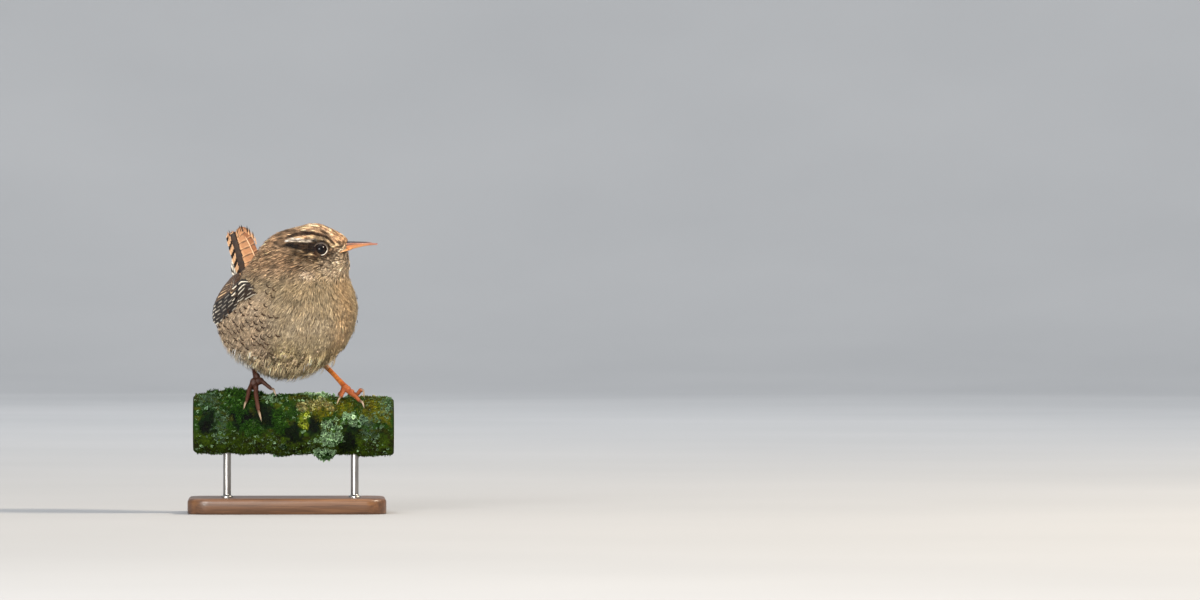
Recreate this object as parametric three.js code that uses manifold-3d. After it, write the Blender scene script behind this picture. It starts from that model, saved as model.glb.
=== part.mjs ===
// A wren with its tail cocked, gripping a short cut length of lichened branch
// that two rods hold above a flat base. Millimetres, +Z up, +X to the bird's
// bill side, the bird's breast turned towards -Y. Origin: centre of the base's
// underside.
import * as THREE from 'three';
import { mergeVertices } from 'three/addons/utils/BufferGeometryUtils.js';
import Module from 'manifold-3d';

const wasm = await Module();
wasm.setup();

// ---------------------------------------------------------------- dimensions
const GAP = 0.3;                        // clearance between touching pieces
// stand
const BASE_L = 76, BASE_W = 52, BASE_T = 6, BASE_R = 8, BASE_X = 0, BASE_Y = 0;
const ROD_D = 3, ROD_X = [-23, 26], ROD_SINK = 3, ROD_IN_PERCH = 5;
// perch
const LIFT = 44.5;                      // height of the perch's grip line
const PERCH_X0 = -36, PERCH_X1 = 41, PERCH_Y = -2, PERCH_R = 10.9;
const PERCH_Z0 = -10.7, PERCH_SLOPE = -0.012;   // axis height under the grip line
// headings, from -Y round towards +X
const BODY_YAW = 38, HEAD_YAW = 82;
const BODY_O = [0, 1, 0], HEAD_O = [9.4, -7.6, 0];
// plumage masses: [frame, [forward, up], [half length, half width, half height], pitch, blend]
const MASSES = [
  ['body', [0.5, 31.95], [27.0, 21.95, 24.0], 10, 0],     // belly and flanks
  ['body', [8.7, 35.2], [17.55, 22.0, 19.65], 25, 9],     // breast
  ['body', [-9.47, 31.92], [19.28, 18.88, 10.9], 5, 7.8],  // mantle
  ['body', [-19.6, 29.33], [11.66, 14.14, 14.71], -16.4, 7.9],  // rump and vent
  ['body', [4.95, 43.76], [16.62, 15.26, 14.38], 17.6, 7.9],  // upper breast
  ['head', [-5.76, 49.98], [12.77, 11.78, 14.65], 24.9, 8.9],  // nape and throat
  ['head', [0.8, 55.2], [7.4, 9.8, 11.1], -6, 7],         // skull with its cheeks
  ['head', [6.5, 59.5], [7.9, 6.0, 4.2], -4, 6],          // forehead and lores
  ['head', [4.75, 54.8], [5.8, 5.4, 4.6], 8, 5],          // chin
  ['head', [8.7, 51.0], [5.9, 5.2, 5.3], 0, 4.5],         // loose feathers under the chin
];
const ENVELOPE_C = [2, -2, 40], ENVELOPE_DETAIL = 8;
// eye
const EYE_R = 2.7, EYE_A = 4.9, EYE_W = 56.8, EYE_DEPTH = 1.95;
// tail
const TAIL_L = 32.5, TAIL_W = 12.6, TAIL_T = 2.2, TAIL_PITCH = 79;
const TAIL_F = -18, TAIL_SIDE = 0.9, TAIL_UP = 34.2, TAIL_SWING = 8;   // swung a little to the bird's right
// wing, in degrees round the body from its side to its back, heights of its
// lower and upper edges at even steps between the first and last angle
const WING_A0 = -26, WING_A1 = 76;
const WING_LOW = [43.5, 38.6, 33.9, 30.4, 28.0, 25.0, 23.0, 23.8];
const WING_TOP = [44.6, 46.8, 47.8, 47.8, 46.8, 44.6, 40.4, 33.0];
const WING_OUT = 0.45, WING_IN = 1.6;
// legs
const TARSUS_R = [0.95, 0.7, 0.72, 0.95];
const TOE_R = 0.62, CLAW_R = 0.42;

// ---------------------------------------------------------------- frames
const rad = THREE.MathUtils.degToRad;
const V = (x, y, z) => new THREE.Vector3(x, y, z);
function axes(yaw, pitch = 0) {
  const s = Math.sin(rad(yaw)), c = Math.cos(rad(yaw));
  const cp = Math.cos(rad(pitch)), sp = Math.sin(rad(pitch));
  return { f: V(s * cp, -c * cp, sp), l: V(c, s, 0), u: V(-s * sp, c * sp, cp) };
}
const BODY = axes(BODY_YAW), HEAD = axes(HEAD_YAW);
function at(o, ax, f, l, w) {
  return V(o[0], o[1], o[2]).addScaledVector(ax.f, f).addScaledVector(ax.l, l).add(V(0, 0, w));
}
const onBody = (f, l, w) => at(BODY_O, BODY, f, l, w);
const onHead = (f, l, w) => at(HEAD_O, HEAD, f, l, w);

// ---------------------------------------------------------------- plumage field
const masses = MASSES.map(([kind, [f, w], r, pitch, k]) => {
  const c = kind === 'body' ? onBody(f, 0, w) : onHead(f, 0, w);
  const yaw = kind === 'body' ? BODY_YAW : HEAD_YAW;
  return { c, r, ax: axes(yaw, pitch), k };
});
function ellipsoid(p, m) {
  const d = p.clone().sub(m.c);
  const q = [d.dot(m.ax.f), d.dot(m.ax.l), d.dot(m.ax.u)];
  let a = 0, b = 0;
  for (let i = 0; i < 3; i++) { a += (q[i] / m.r[i]) ** 2; b += (q[i] / (m.r[i] * m.r[i])) ** 2; }
  a = Math.sqrt(a); b = Math.sqrt(b);
  return a * (a - 1) / Math.max(b, 1e-9);
}
function field(p) {
  let d = null;
  for (const m of masses) {
    const e = ellipsoid(p, m);
    if (d === null) { d = e; continue; }
    const h = Math.max(m.k - Math.abs(d - e), 0) / m.k;
    d = Math.min(d, e) - h * h * m.k * 0.25;
  }
  return d;
}
function surfaceAlong(c, dir) {
  let t = 2;
  while (t < 70 && field(c.clone().addScaledVector(dir, t)) < 0) t += 1;
  let a = t - 1, b = t;
  for (let i = 0; i < 30; i++) {
    const m = (a + b) / 2;
    if (field(c.clone().addScaledVector(dir, m)) < 0) a = m; else b = m;
  }
  return c.clone().addScaledVector(dir, (a + b) / 2);
}
function normalAt(p) {
  const e = 0.05, n = V(0, 0, 0);
  for (const k of ['x', 'y', 'z']) {
    const a = p.clone(), b = p.clone();
    a[k] += e; b[k] -= e;
    n[k] = field(a) - field(b);
  }
  return n.normalize();
}

// ---------------------------------------------------------------- solids
function welded(geometry) {
  const g = geometry.clone();
  g.deleteAttribute('normal');
  g.deleteAttribute('uv');
  return mergeVertices(g, 1e-4);
}
function remap(geometry, fn) {
  const g = welded(geometry), p = g.attributes.position;
  for (let i = 0; i < p.count; i++) {
    const v = fn(p.getX(i), p.getY(i), p.getZ(i));
    p.setXYZ(i, v.x, v.y, v.z);
  }
  return outward(g);
}
// turns the faces of a mirrored shape back out
function outward(g) {
  const p = g.attributes.position, idx = g.index.array;
  let six = 0;
  const a = V(0, 0, 0), b = V(0, 0, 0), c = V(0, 0, 0);
  for (let i = 0; i < idx.length; i += 3) {
    a.fromBufferAttribute(p, idx[i]); b.fromBufferAttribute(p, idx[i + 1]); c.fromBufferAttribute(p, idx[i + 2]);
    six += a.dot(b.cross(c));
  }
  if (six < 0) for (let i = 0; i < idx.length; i += 3) { const t = idx[i]; idx[i] = idx[i + 1]; idx[i + 1] = t; }
  return g;
}
function solid(geometry) {
  const g = welded(geometry);
  return new wasm.Manifold(new wasm.Mesh({
    numProp: 3,
    vertProperties: new Float32Array(g.attributes.position.array),
    triVerts: new Uint32Array(g.index.array),
  }));
}
// the cut solid as a geometry, with the slivers along its cuts closed up
const SLIVER = 0.02;
function geometryOf(manifold) {
  const m = manifold.getMesh(), pos = m.vertProperties, tris = m.triVerts;
  const to = Array.from({ length: pos.length / 3 }, (_, i) => i);
  const root = (i) => { while (to[i] !== i) i = to[i]; return i; };
  const apart = (a, b) => Math.hypot(pos[3 * a] - pos[3 * b], pos[3 * a + 1] - pos[3 * b + 1], pos[3 * a + 2] - pos[3 * b + 2]);
  for (let i = 0; i < tris.length; i += 3) {
    for (let k = 0; k < 3; k++) {
      const a = root(tris[i + k]), b = root(tris[i + (k + 1) % 3]);
      if (a !== b && apart(a, b) < SLIVER) to[Math.max(a, b)] = Math.min(a, b);
    }
  }
  const kept = [];
  for (let i = 0; i < tris.length; i += 3) {
    const a = root(tris[i]), b = root(tris[i + 1]), c = root(tris[i + 2]);
    if (a !== b && b !== c && c !== a) kept.push(a, b, c);
  }
  const g = new THREE.BufferGeometry();
  g.setAttribute('position', new THREE.BufferAttribute(new Float32Array(pos), 3));
  g.setIndex(new THREE.BufferAttribute(new Uint32Array(kept), 1));
  return mergeVertices(g, 1e-4);
}
// ball: an ellipsoid turned to a frame
function ball(c, r, ax, wide = 12, high = 8) {
  return remap(new THREE.SphereGeometry(1, wide, high), (x, y, z) =>
    c.clone().addScaledVector(ax.f, x * r[0]).addScaledVector(ax.l, y * r[1]).addScaledVector(ax.u, z * r[2]));
}
// limb: a round section swept along a smooth curve, its radii read along it
function limb(points, radii, sides, steps, flat = 1, grow = 0) {
  const curve = new THREE.CatmullRomCurve3(points, false, 'centripetal');
  const frames = curve.computeFrenetFrames(steps, false);
  const along = curve.getSpacedPoints(steps);
  const radius = (s) => {
    const t = s * (radii.length - 1), i = Math.min(Math.floor(t), radii.length - 2);
    return THREE.MathUtils.lerp(radii[i], radii[i + 1], t - i) + grow;
  };
  const geo = new THREE.CylinderGeometry(1, 1, 1, sides, steps, false);
  return remap(geo, (x, y, z) => {
    const i = Math.round((0.5 - y) * steps), r = radius(i / steps);
    const p = along[i].clone();
    if (grow) p.addScaledVector(frames.tangents[i], i === 0 ? -grow : i === steps ? grow : 0);
    return p.addScaledVector(frames.normals[i], x * r)
      .addScaledVector(frames.binormals[i], z * r * flat);
  });
}
const bigBox = (zc, ax, c) => remap(new THREE.BoxGeometry(200, 200, 100), (x, y, z) =>
  c.clone().addScaledVector(ax.f, x).addScaledVector(ax.l, y).addScaledVector(ax.u, z + zc));

// ---------------------------------------------------------------- body envelope
const envelopeC = V(...ENVELOPE_C);
const envelope = solid(remap(new THREE.IcosahedronGeometry(1, ENVELOPE_DETAIL), (x, y, z) =>
  surfaceAlong(envelopeC, V(x, y, z).normalize())));

// wing: a leaf laid on the flank, thin at its rim
function spread(list, s) {
  const t = s * (list.length - 1), i = Math.min(Math.floor(t), list.length - 2), f = t - i;
  const a = list[Math.max(i - 1, 0)], b = list[i], c = list[i + 1], d = list[Math.min(i + 2, list.length - 1)];
  return b + 0.5 * f * (c - a + f * (2 * a - 5 * b + 4 * c - d + f * (3 * (b - c) + d - a)));
}
function wing(side, grow = 0) {
  const geo = new THREE.SphereGeometry(1, 12, 15);
  return remap(geo, (x, y, z) => {
    const across = Math.hypot(x, z) || 1e-9;
    const u = 0.5 - 0.5 * Math.sign(y) * Math.pow(Math.abs(Math.asin(y) / (Math.PI / 2)), 0.95);
    const s = THREE.MathUtils.clamp(u, 0, 1);
    const a = rad(WING_A0 + (WING_A1 - WING_A0) * s) + (grow / 26) * Math.sign(s - 0.5) * (Math.abs(s - 0.5) > 0.47 ? 1 : 0);
    const cx = x / across, cz = z / across;
    const v = Math.sign(cx) * Math.pow(Math.abs(cx), 0.8);
    const low = spread(WING_LOW, s) - grow, top = spread(WING_TOP, s) + grow;
    const end = Math.pow(Math.min(1, across * 1.25), 0.5);
    const h = (low + top) / 2 + v * (top - low) / 2 * Math.max(end, 0.02);
    const dir = V(0, 0, 0).addScaledVector(BODY.f, -Math.sin(a)).addScaledVector(BODY.l, side * Math.cos(a));
    const p = surfaceAlong(onBody(-1, 0, h), dir), n = normalAt(p);
    const lift = 0.9 * Math.max(0, s - 0.6) / 0.4;
    const t = Math.sign(cz) * Math.pow(Math.abs(cz), 0.7) * Math.max(end, 0.02);
    const off = (t > 0 ? t * (WING_OUT + grow) : t * (WING_IN + grow)) + lift;
    return p.addScaledVector(n, off);
  });
}

// tail: a closed fan of feathers, roofed along its middle, cocked over the back
const tailAxes = (() => {
  const b = BODY.f.clone().negate(), c = Math.cos(rad(TAIL_PITCH)), s = Math.sin(rad(TAIL_PITCH));
  const along = b.clone().multiplyScalar(c).add(V(0, 0, s)), across = BODY.l.clone();
  const sc = Math.cos(rad(TAIL_SWING)), ss = Math.sin(rad(TAIL_SWING));
  return { along: along.clone().multiplyScalar(sc).addScaledVector(across, -ss),
    across: across.clone().multiplyScalar(sc).addScaledVector(along, ss), top: V(0, 0, c).addScaledVector(b, -s) };
})();
const tailBase = onBody(TAIL_F, TAIL_SIDE, TAIL_UP);
// share of the tail's half width kept at each step along it
const TAIL_SPREAD = [0.45, 0.55, 0.66, 0.77, 0.88, 0.98, 1.0, 0.72];
const TAIL_THICK = [2.5, 2.3, 1.9, 1.45, 1.1, 0.85, 0.66, 0.42];
function tail(grow = 0) {
  return remap(new THREE.CylinderGeometry(1, 1, 1, 14, 9, false), (x, y, z) => {
    const s = y + 0.5, centre = x === 0 && z === 0;
    const half = (TAIL_W / 2) * spread(TAIL_SPREAD, s) + grow;
    const v = centre ? 0 : Math.sign(x) * Math.pow(Math.abs(x), 0.8);
    const t = centre ? 0 : Math.sign(z) * Math.pow(Math.abs(z), 0.55);
    const thick = (TAIL_T / 2) * spread(TAIL_THICK, s) + grow;
    const rounding = 2.6 * Math.pow(s, 2) * v * v;
    const a = s * TAIL_L - rounding + (s < 1e-6 ? -grow : s > 1 - 1e-6 ? grow : 0);
    const bow = 1.2 * Math.sin(Math.PI * s) - 1.5 * v * v * s;
    return tailBase.clone().addScaledVector(tailAxes.along, a)
      .addScaledVector(tailAxes.across, v * half).addScaledVector(tailAxes.top, t * thick + bow);
  });
}

// bill: two thin tapered halves, nearly straight, the upper a little decurved
const BILL_A = [9.8, 13.2, 17.0, 21.0, 25.4];             // forward of the head's origin
const CULMEN = [60.1, 59.95, 59.85, 59.7, 59.05];
const GAPE = [57.0, 58.35, 58.75, 58.9, 58.75];
const GONYS = [54.9, 55.7, 56.9, 57.9, 58.45];
const BILL_HALF = [2.3, 1.75, 1.15, 0.72, 0.26];
function bill(upper, grow = 0) {
  const geo = new THREE.CylinderGeometry(1, 1, 1, 10, 7, false);
  return remap(geo, (x, y, z) => {
    const s = 0.5 - y;
    const a = BILL_A[0] + (BILL_A[4] - BILL_A[0]) * s + (s === 0 ? -grow : s === 1 ? grow : 0);
    const e = THREE.MathUtils.clamp((a - BILL_A[0]) / (BILL_A[4] - BILL_A[0]), 0, 1);
    const mid = spread(GAPE, e), top = spread(CULMEN, e), low = spread(GONYS, e), half = spread(BILL_HALF, e) + grow;
    const centre = x === 0 && z === 0;
    // flat along the gape, rounded over the culmen or under the gonys
    const side = upper ? 1 : -1, rise = upper ? z : -z;
    const h = Math.max(upper ? top - mid : mid - low, 0.43) - GAP / 2 + 2 * grow;
    const w = mid + side * (GAP / 2 - grow + (centre ? 0.4 * h : rise > 0 ? h * Math.pow(rise, 0.8) : 0));
    return onHead(a, x * half * (1 - 0.2 * Math.max(0, rise)), w);
  });
}

// eyes: a ball seated below the plumage on each side of the head
function eyeCentre(side) {
  const s = surfaceAlong(onHead(EYE_A, 0, EYE_W), HEAD.l.clone().multiplyScalar(side));
  const n = normalAt(s).multiplyScalar(0.35).addScaledVector(HEAD.l, side * 0.65).normalize();
  return s.addScaledVector(n, -EYE_DEPTH);
}
const eye = (side, grow = 0, wide = 14, high = 10) =>
  ball(eyeCentre(side), [EYE_R + grow, EYE_R + grow, EYE_R + grow], HEAD, wide, high);

// ---------------------------------------------------------------- legs and feet
// heel inside the belly plumage, then the joint above the toes
const LEGS = {
  right: { heel: [-13.6, 8.6, 15.3], joint: [-11.7, -4.6, 5.4] },
  left: { heel: [12.4, 6.4, 14.2], joint: [22.2, -4.2, 4.1] },
};
// each toe: its course down to the claw's root, then the claw's course
const TOES = {
  right: {
    outer: [[[-13.2, -5.0, 5.3], [-14.4, -7.0, 3.2], [-15.0, -8.9, 0.6], [-15.5, -10.4, -1.6]], [[-16.0, -11.7, -2.3], [-16.6, -12.9, -4.6]]],
    middle: [[[-11.9, -6.0, 4.8], [-11.9, -8.2, 2.0], [-11.5, -10.5, -1.4], [-10.9, -12.6, -5.0]], [[-10.5, -14.0, -6.3], [-9.7, -14.4, -9.2]]],
    inner: [[[-10.9, -5.4, 5.7], [-9.7, -6.4, 6.1], [-8.4, -7.2, 5.2], [-6.0, -8.2, 3.2]], [[-5.2, -8.7, 3.0], [-4.1, -9.8, 0.4]]],
    hallux: [[[-12.2, -3.0, 4.8], [-12.9, -0.6, 4.0], [-13.4, 2.2, 3.2]], [[-13.6, 4.2, 3.1], [-13.7, 6.6, 0.6]]],
  },
  left: {
    outer: [[[22.9, -4.3, 3.4], [25.0, -4.6, 1.6], [26.9, -5.1, 1.1], [28.3, -5.4, 3.1]], [[29.3, -5.7, 2.4], [29.6, -6.2, -0.4]]],
    middle: [[[22.6, -5.3, 3.1], [24.3, -6.9, 1.6], [26.3, -8.6, 0.2], [27.8, -9.9, -1.4]], [[28.9, -10.9, -2.0], [29.6, -11.5, -4.2]]],
    inner: [[[21.8, -5.2, 2.9], [21.2, -7.0, 1.6], [20.5, -8.8, 0.0]], [[19.9, -10.2, -0.6], [19.0, -11.4, -2.9]]],
    hallux: [[[21.6, -3.0, 3.1], [20.9, -0.6, 1.7], [20.2, 2.2, 1.3]], [[19.8, 4.2, 0.9], [19.4, 6.4, -1.5]]],
  },
};
const pt = (a) => V(a[0], a[1], a[2]);
function shorten(points, start, end) {
  // trims a course at both ends so that neighbours keep their clearance
  const p = points.map((q) => q.clone()), n = p.length;
  p[0].add(p[1].clone().sub(p[0]).setLength(start));
  p[n - 1].add(p[n - 2].clone().sub(p[n - 1]).setLength(end));
  return p;
}
function tarsus(leg, grow = 0) {
  const h = pt(LEGS[leg].heel), j = pt(LEGS[leg].joint);
  const mid = h.clone().lerp(j, 0.5).add(V(0, 0, 0.25));
  return limb([h, mid, j], TARSUS_R, 8, 4, 1, grow);
}
function toe(leg, name, grow = 0) {
  const p = TOES[leg][name][0].map(pt);
  return limb(p, [TOE_R * 1.15, TOE_R, TOE_R * 1.05, TOE_R * 0.9, TOE_R * 0.78], grow ? 6 : 7, grow ? 4 : 5, 0.9, grow);
}
function claw(leg, name) {
  const [course, tip] = TOES[leg][name];
  const root = pt(course[course.length - 1]), p = [root, ...tip.map(pt)];
  return limb(shorten(p, GAP + 0.02, 0), [CLAW_R, CLAW_R * 0.95, CLAW_R * 0.62, 0.13], 6, 4, 1);
}
// feathered thigh: a drop of plumage round each heel
const THIGH = { right: [[-12.6, 8.4, 16.4], [3.4, 3.4, 5.4]], left: [[11.0, 6.8, 15.0], [3.5, 3.5, 5.2]] };
const thigh = (leg, grow = 0) => ball(pt(THIGH[leg][0]), THIGH[leg][1].map((r) => r + grow), BODY, 10, 8);

// ---------------------------------------------------------------- perch and stand
const axisZ = (x) => PERCH_Z0 + PERCH_SLOPE * x;
const bump = (d, w) => Math.exp(-(d * d) / (w * w));
function perchRadius(x, a) {
  // a: angle round the axis, 0 at the top, 90 degrees towards -Y
  let r = PERCH_R + 0.3 * Math.sin(x * 0.21 + 1.1) + 0.22 * Math.sin(3 * a + x * 0.13) + 0.16 * Math.sin(5 * a - x * 0.31);
  const top = Math.max(0, Math.cos(a));
  r += 2.3 * bump(x + 18, 8) * top * top;                         // lichen cushion by the right foot
  r += 0.9 * bump(x - 5, 9) * top * top;
  const lump = Math.cos(a - rad(118));
  r += 1.7 * bump(x - 15.5, 5) * Math.pow(Math.max(0, lump), 3);   // lichen hanging under the front
  return r;
}
function perchSurface(x, a, out = 0) {
  const r = perchRadius(x, a) + out;
  return V(x, PERCH_Y - r * Math.sin(a), axisZ(x) + r * Math.cos(a));
}
const perchRaw = remap(new THREE.CylinderGeometry(1, 1, 1, 22, 14, false), (x, y, z) => {
  const s = y + 0.5, px = PERCH_X0 + (PERCH_X1 - PERCH_X0) * s, rr = Math.hypot(x, z);
  if (rr < 1e-6) return V(px, PERCH_Y, axisZ(px));
  const a = Math.atan2(z, x), p = perchSurface(px, a);
  const worn = (s < 1e-6 || s > 1 - 1e-6) ? 0.94 : 1;
  return V(px, PERCH_Y + (p.y - PERCH_Y) * worn, axisZ(px) + (p.z - axisZ(px)) * worn);
});
const FLOOR = -LIFT;                      // base underside, in the bird's own heights
const rodTop = (x) => axisZ(x) - PERCH_R + ROD_IN_PERCH;
function rod(x, grow = 0) {
  const z0 = FLOOR + BASE_T - ROD_SINK - grow, z1 = rodTop(x) + grow;
  const g = new THREE.CylinderGeometry(ROD_D / 2 + grow, ROD_D / 2 + grow, z1 - z0, 12, 1, false);
  g.rotateX(Math.PI / 2);
  g.translate(x, PERCH_Y, (z0 + z1) / 2);
  return welded(g);
}
const baseShape = (() => {
  const s = new THREE.Shape(), x = BASE_L / 2 - 1, y = BASE_W / 2 - 1, r = BASE_R;
  s.moveTo(-x + r, -y); s.lineTo(x - r, -y); s.absarc(x - r, -y + r, r, -Math.PI / 2, 0, false);
  s.lineTo(x, y - r); s.absarc(x - r, y - r, r, 0, Math.PI / 2, false);
  s.lineTo(-x + r, y); s.absarc(-x + r, y - r, r, Math.PI / 2, Math.PI, false);
  s.lineTo(-x, -y + r); s.absarc(-x + r, -y + r, r, Math.PI, Math.PI * 1.5, false);
  return s;
})();
const baseGeo = new THREE.ExtrudeGeometry(baseShape, {
  depth: BASE_T - 2, bevelEnabled: true, bevelSize: 1, bevelThickness: 1, bevelSegments: 1, curveSegments: 5, steps: 1,
});
baseGeo.translate(BASE_X, BASE_Y, FLOOR + 1);

// ---------------------------------------------------------------- cutting and parting
const PARTING = { c: onHead(1.6, 0, 57.6), r: [15.2, 14.2, 13.8] };
const headCut = (grow) => solid(ball(PARTING.c, PARTING.r.map((r) => r + grow), HEAD, 16, 12));
const collarAxes = axes(BODY_YAW, -20);
const collarC = onBody(0, 0, 44);
let head = envelope.intersect(headCut(0));
let below = envelope.subtract(headCut(GAP));
let neck = below.intersect(solid(bigBox(50 + GAP / 2, collarAxes, collarC)));
let trunk = below.intersect(solid(bigBox(-50 - GAP / 2, collarAxes, collarC)));
for (const side of [1, -1]) head = head.subtract(solid(eye(side, GAP, 12, 8)));
head = head.subtract(solid(bill(true, GAP))).subtract(solid(bill(false, GAP)));
for (const side of [1, -1]) {
  trunk = trunk.subtract(solid(wing(side, GAP)));
  neck = neck.subtract(solid(wing(side, GAP)));
}
trunk = trunk.subtract(solid(tail(GAP)));
neck = neck.subtract(solid(tail(GAP)));
for (const leg of ['right', 'left']) trunk = trunk.subtract(solid(thigh(leg, GAP))).subtract(solid(tarsus(leg, GAP)));
const biggest = (m) => m.decompose().sort((a, b) => b.volume() - a.volume())[0];

// ---------------------------------------------------------------- the object
const wren = new THREE.Group();
const PLUMAGE = (hex) => new THREE.MeshStandardMaterial({ color: hex, roughness: 0.9, metalness: 0 });
const looks = {
  brown: PLUMAGE(0x8a6a48), buff: PLUMAGE(0xb39a78), wing: PLUMAGE(0x6d5236), tail: PLUMAGE(0x9a6238),
  shank: new THREE.MeshStandardMaterial({ color: 0xb5672f, roughness: 0.55, metalness: 0 }),
  horn: new THREE.MeshStandardMaterial({ color: 0xb9a98c, roughness: 0.4, metalness: 0 }),
  bill: new THREE.MeshStandardMaterial({ color: 0x5a4544, roughness: 0.38, metalness: 0 }),
  billLow: new THREE.MeshStandardMaterial({ color: 0xc89a5e, roughness: 0.4, metalness: 0 }),
  eye: new THREE.MeshStandardMaterial({ color: 0x0b0908, roughness: 0.06, metalness: 0 }),
  bark: new THREE.MeshStandardMaterial({ color: 0x3f4a22, roughness: 0.95, metalness: 0 }),
  wood: new THREE.MeshStandardMaterial({ color: 0x5b3d26, roughness: 0.45, metalness: 0 }),
  metal: new THREE.MeshStandardMaterial({ color: 0xa8a49a, roughness: 0.3, metalness: 1 }),
};
function add(name, geometry, material) {
  const g = geometry.clone();
  g.computeVertexNormals();
  const mesh = new THREE.Mesh(g, material);
  mesh.name = name;
  mesh.position.z = LIFT;
  wren.add(mesh);
}
add('head', geometryOf(biggest(head)), looks.brown);
add('neck', geometryOf(biggest(neck)), looks.buff);
add('trunk', geometryOf(biggest(trunk)), looks.buff);
add('wing_right', wing(-1), looks.wing);
add('wing_left', wing(1), looks.wing);
add('tail', tail(), looks.tail);
add('eye_right', eye(-1), looks.eye);
add('eye_left', eye(1), looks.eye);
add('bill_upper', bill(true), looks.bill);
add('bill_lower', bill(false), looks.billLow);
let perch = solid(perchRaw);
for (const x of ROD_X) perch = perch.subtract(solid(rod(x, GAP)));
for (const leg of ['right', 'left']) {
  let t = solid(tarsus(leg));
  let shin = solid(thigh(leg)).subtract(solid(tarsus(leg, GAP)));
  add(`thigh_${leg}`, geometryOf(biggest(shin)), looks.buff);
  add(`tarsus_${leg}`, geometryOf(t), looks.shank);
  let kept = [solid(tarsus(leg, GAP))];
  for (const name of ['middle', 'outer', 'inner', 'hallux']) {
    let piece = solid(toe(leg, name));
    for (const k of kept) piece = piece.subtract(k);
    add(`toe_${leg}_${name}`, geometryOf(biggest(piece)), looks.shank);
    kept.push(solid(toe(leg, name, GAP)));
    let nib = solid(claw(leg, name));
    for (const k of kept) nib = nib.subtract(k);
    add(`claw_${leg}_${name}`, geometryOf(biggest(nib)), looks.horn);
    perch = perch.subtract(solid(toe(leg, name, GAP)));
    const nail = TOES[leg][name], root = pt(nail[0][nail[0].length - 1]);
    perch = perch.subtract(solid(limb([root, ...nail[1].map(pt)], [CLAW_R, CLAW_R * 0.95, CLAW_R * 0.62, 0.13], 5, 3, 1, GAP)));
  }
}
add('perch', geometryOf(biggest(perch)), looks.bark);
let base = solid(baseGeo);
for (const x of ROD_X) base = base.subtract(solid(rod(x, GAP)));
add('stand_base', geometryOf(base), looks.wood);
ROD_X.forEach((x, i) => add(`stand_rod_${i + 1}`, rod(x), looks.metal));

export default wren;
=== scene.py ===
import math

import bmesh
import bpy
import numpy as np
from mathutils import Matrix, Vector


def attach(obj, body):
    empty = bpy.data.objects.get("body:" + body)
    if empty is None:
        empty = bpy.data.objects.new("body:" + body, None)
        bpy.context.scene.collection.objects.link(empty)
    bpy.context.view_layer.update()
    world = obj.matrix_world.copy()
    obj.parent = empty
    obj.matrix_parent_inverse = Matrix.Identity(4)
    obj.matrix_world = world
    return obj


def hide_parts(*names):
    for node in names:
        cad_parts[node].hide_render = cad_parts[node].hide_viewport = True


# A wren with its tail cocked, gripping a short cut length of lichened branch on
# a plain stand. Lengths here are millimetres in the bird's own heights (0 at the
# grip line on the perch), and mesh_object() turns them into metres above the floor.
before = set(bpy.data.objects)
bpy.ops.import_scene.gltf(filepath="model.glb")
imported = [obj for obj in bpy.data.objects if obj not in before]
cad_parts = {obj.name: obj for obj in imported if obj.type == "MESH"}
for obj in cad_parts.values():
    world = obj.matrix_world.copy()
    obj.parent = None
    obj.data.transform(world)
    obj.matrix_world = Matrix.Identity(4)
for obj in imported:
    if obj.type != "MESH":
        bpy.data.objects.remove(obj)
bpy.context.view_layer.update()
MM, LIFT = 0.001, 44.5
rng = np.random.default_rng(20)


# ================================================================ small helpers
def unit(v):
    return v / np.maximum(np.linalg.norm(v, axis=-1, keepdims=True), 1e-12)


def smooth(x, a, b):
    t = np.clip((x - a) / (b - a), 0, 1)
    return t * t * (3 - 2 * t)


def mix(c0, c1, m):
    m = np.asarray(m)[..., None]
    return c0 * (1 - m) + c1 * m


def lin(text):
    v = np.array([int(text[i:i + 2], 16) for i in (0, 2, 4)]) / 255
    return np.where(v <= 0.04045, v / 12.92, ((v + 0.055) / 1.055) ** 2.4)


def lattice(ix, iy, iz, seed):
    h = (ix * 374761393 + iy * 668265263 + iz * 1103515245 + seed * 974711) & 0xFFFFFFFF
    h = ((h ^ (h >> 13)) * 1274126177) & 0xFFFFFFFF
    h = ((h ^ (h >> 16)) * 2246822519) & 0xFFFFFFFF
    return ((h ^ (h >> 15)) & 0xFFFFFF) / float(0x7FFFFF) - 1.0


def noise(P, size, seed=0):
    """smooth noise of about -1..1 whose lumps are size across"""
    Q = np.asarray(P) / size
    i = np.floor(Q).astype(np.int64)
    f = Q - i
    u = f * f * (3 - 2 * f)
    out = 0.0
    for dx in (0, 1):
        for dy in (0, 1):
            for dz in (0, 1):
                w = (u[..., 0] if dx else 1 - u[..., 0]) * (u[..., 1] if dy else 1 - u[..., 1]) * (u[..., 2] if dz else 1 - u[..., 2])
                out = out + w * lattice(i[..., 0] + dx, i[..., 1] + dy, i[..., 2] + dz, seed)
    return out


def fractal(P, size, seed=0, octaves=4, keep=0.5):
    out, amp = 0.0, 1.0
    for k in range(octaves):
        out = out + amp * noise(P, size / 2 ** k, seed + 17 * k)
        amp *= keep
    return out


def spread(values, s):
    """a smooth read through evenly spaced values"""
    v = np.asarray(values, float)
    s = np.clip(np.asarray(s, float), 0, 1)
    t = s * (len(v) - 1)
    i = np.minimum(np.floor(t).astype(int), len(v) - 2)
    f = t - i
    a, b, c, d = v[np.maximum(i - 1, 0)], v[i], v[i + 1], v[np.minimum(i + 2, len(v) - 1)]
    return b + 0.5 * f * (c - a + f * (2 * a - 5 * b + 4 * c - d + f * (3 * (b - c) + d - a)))


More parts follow.
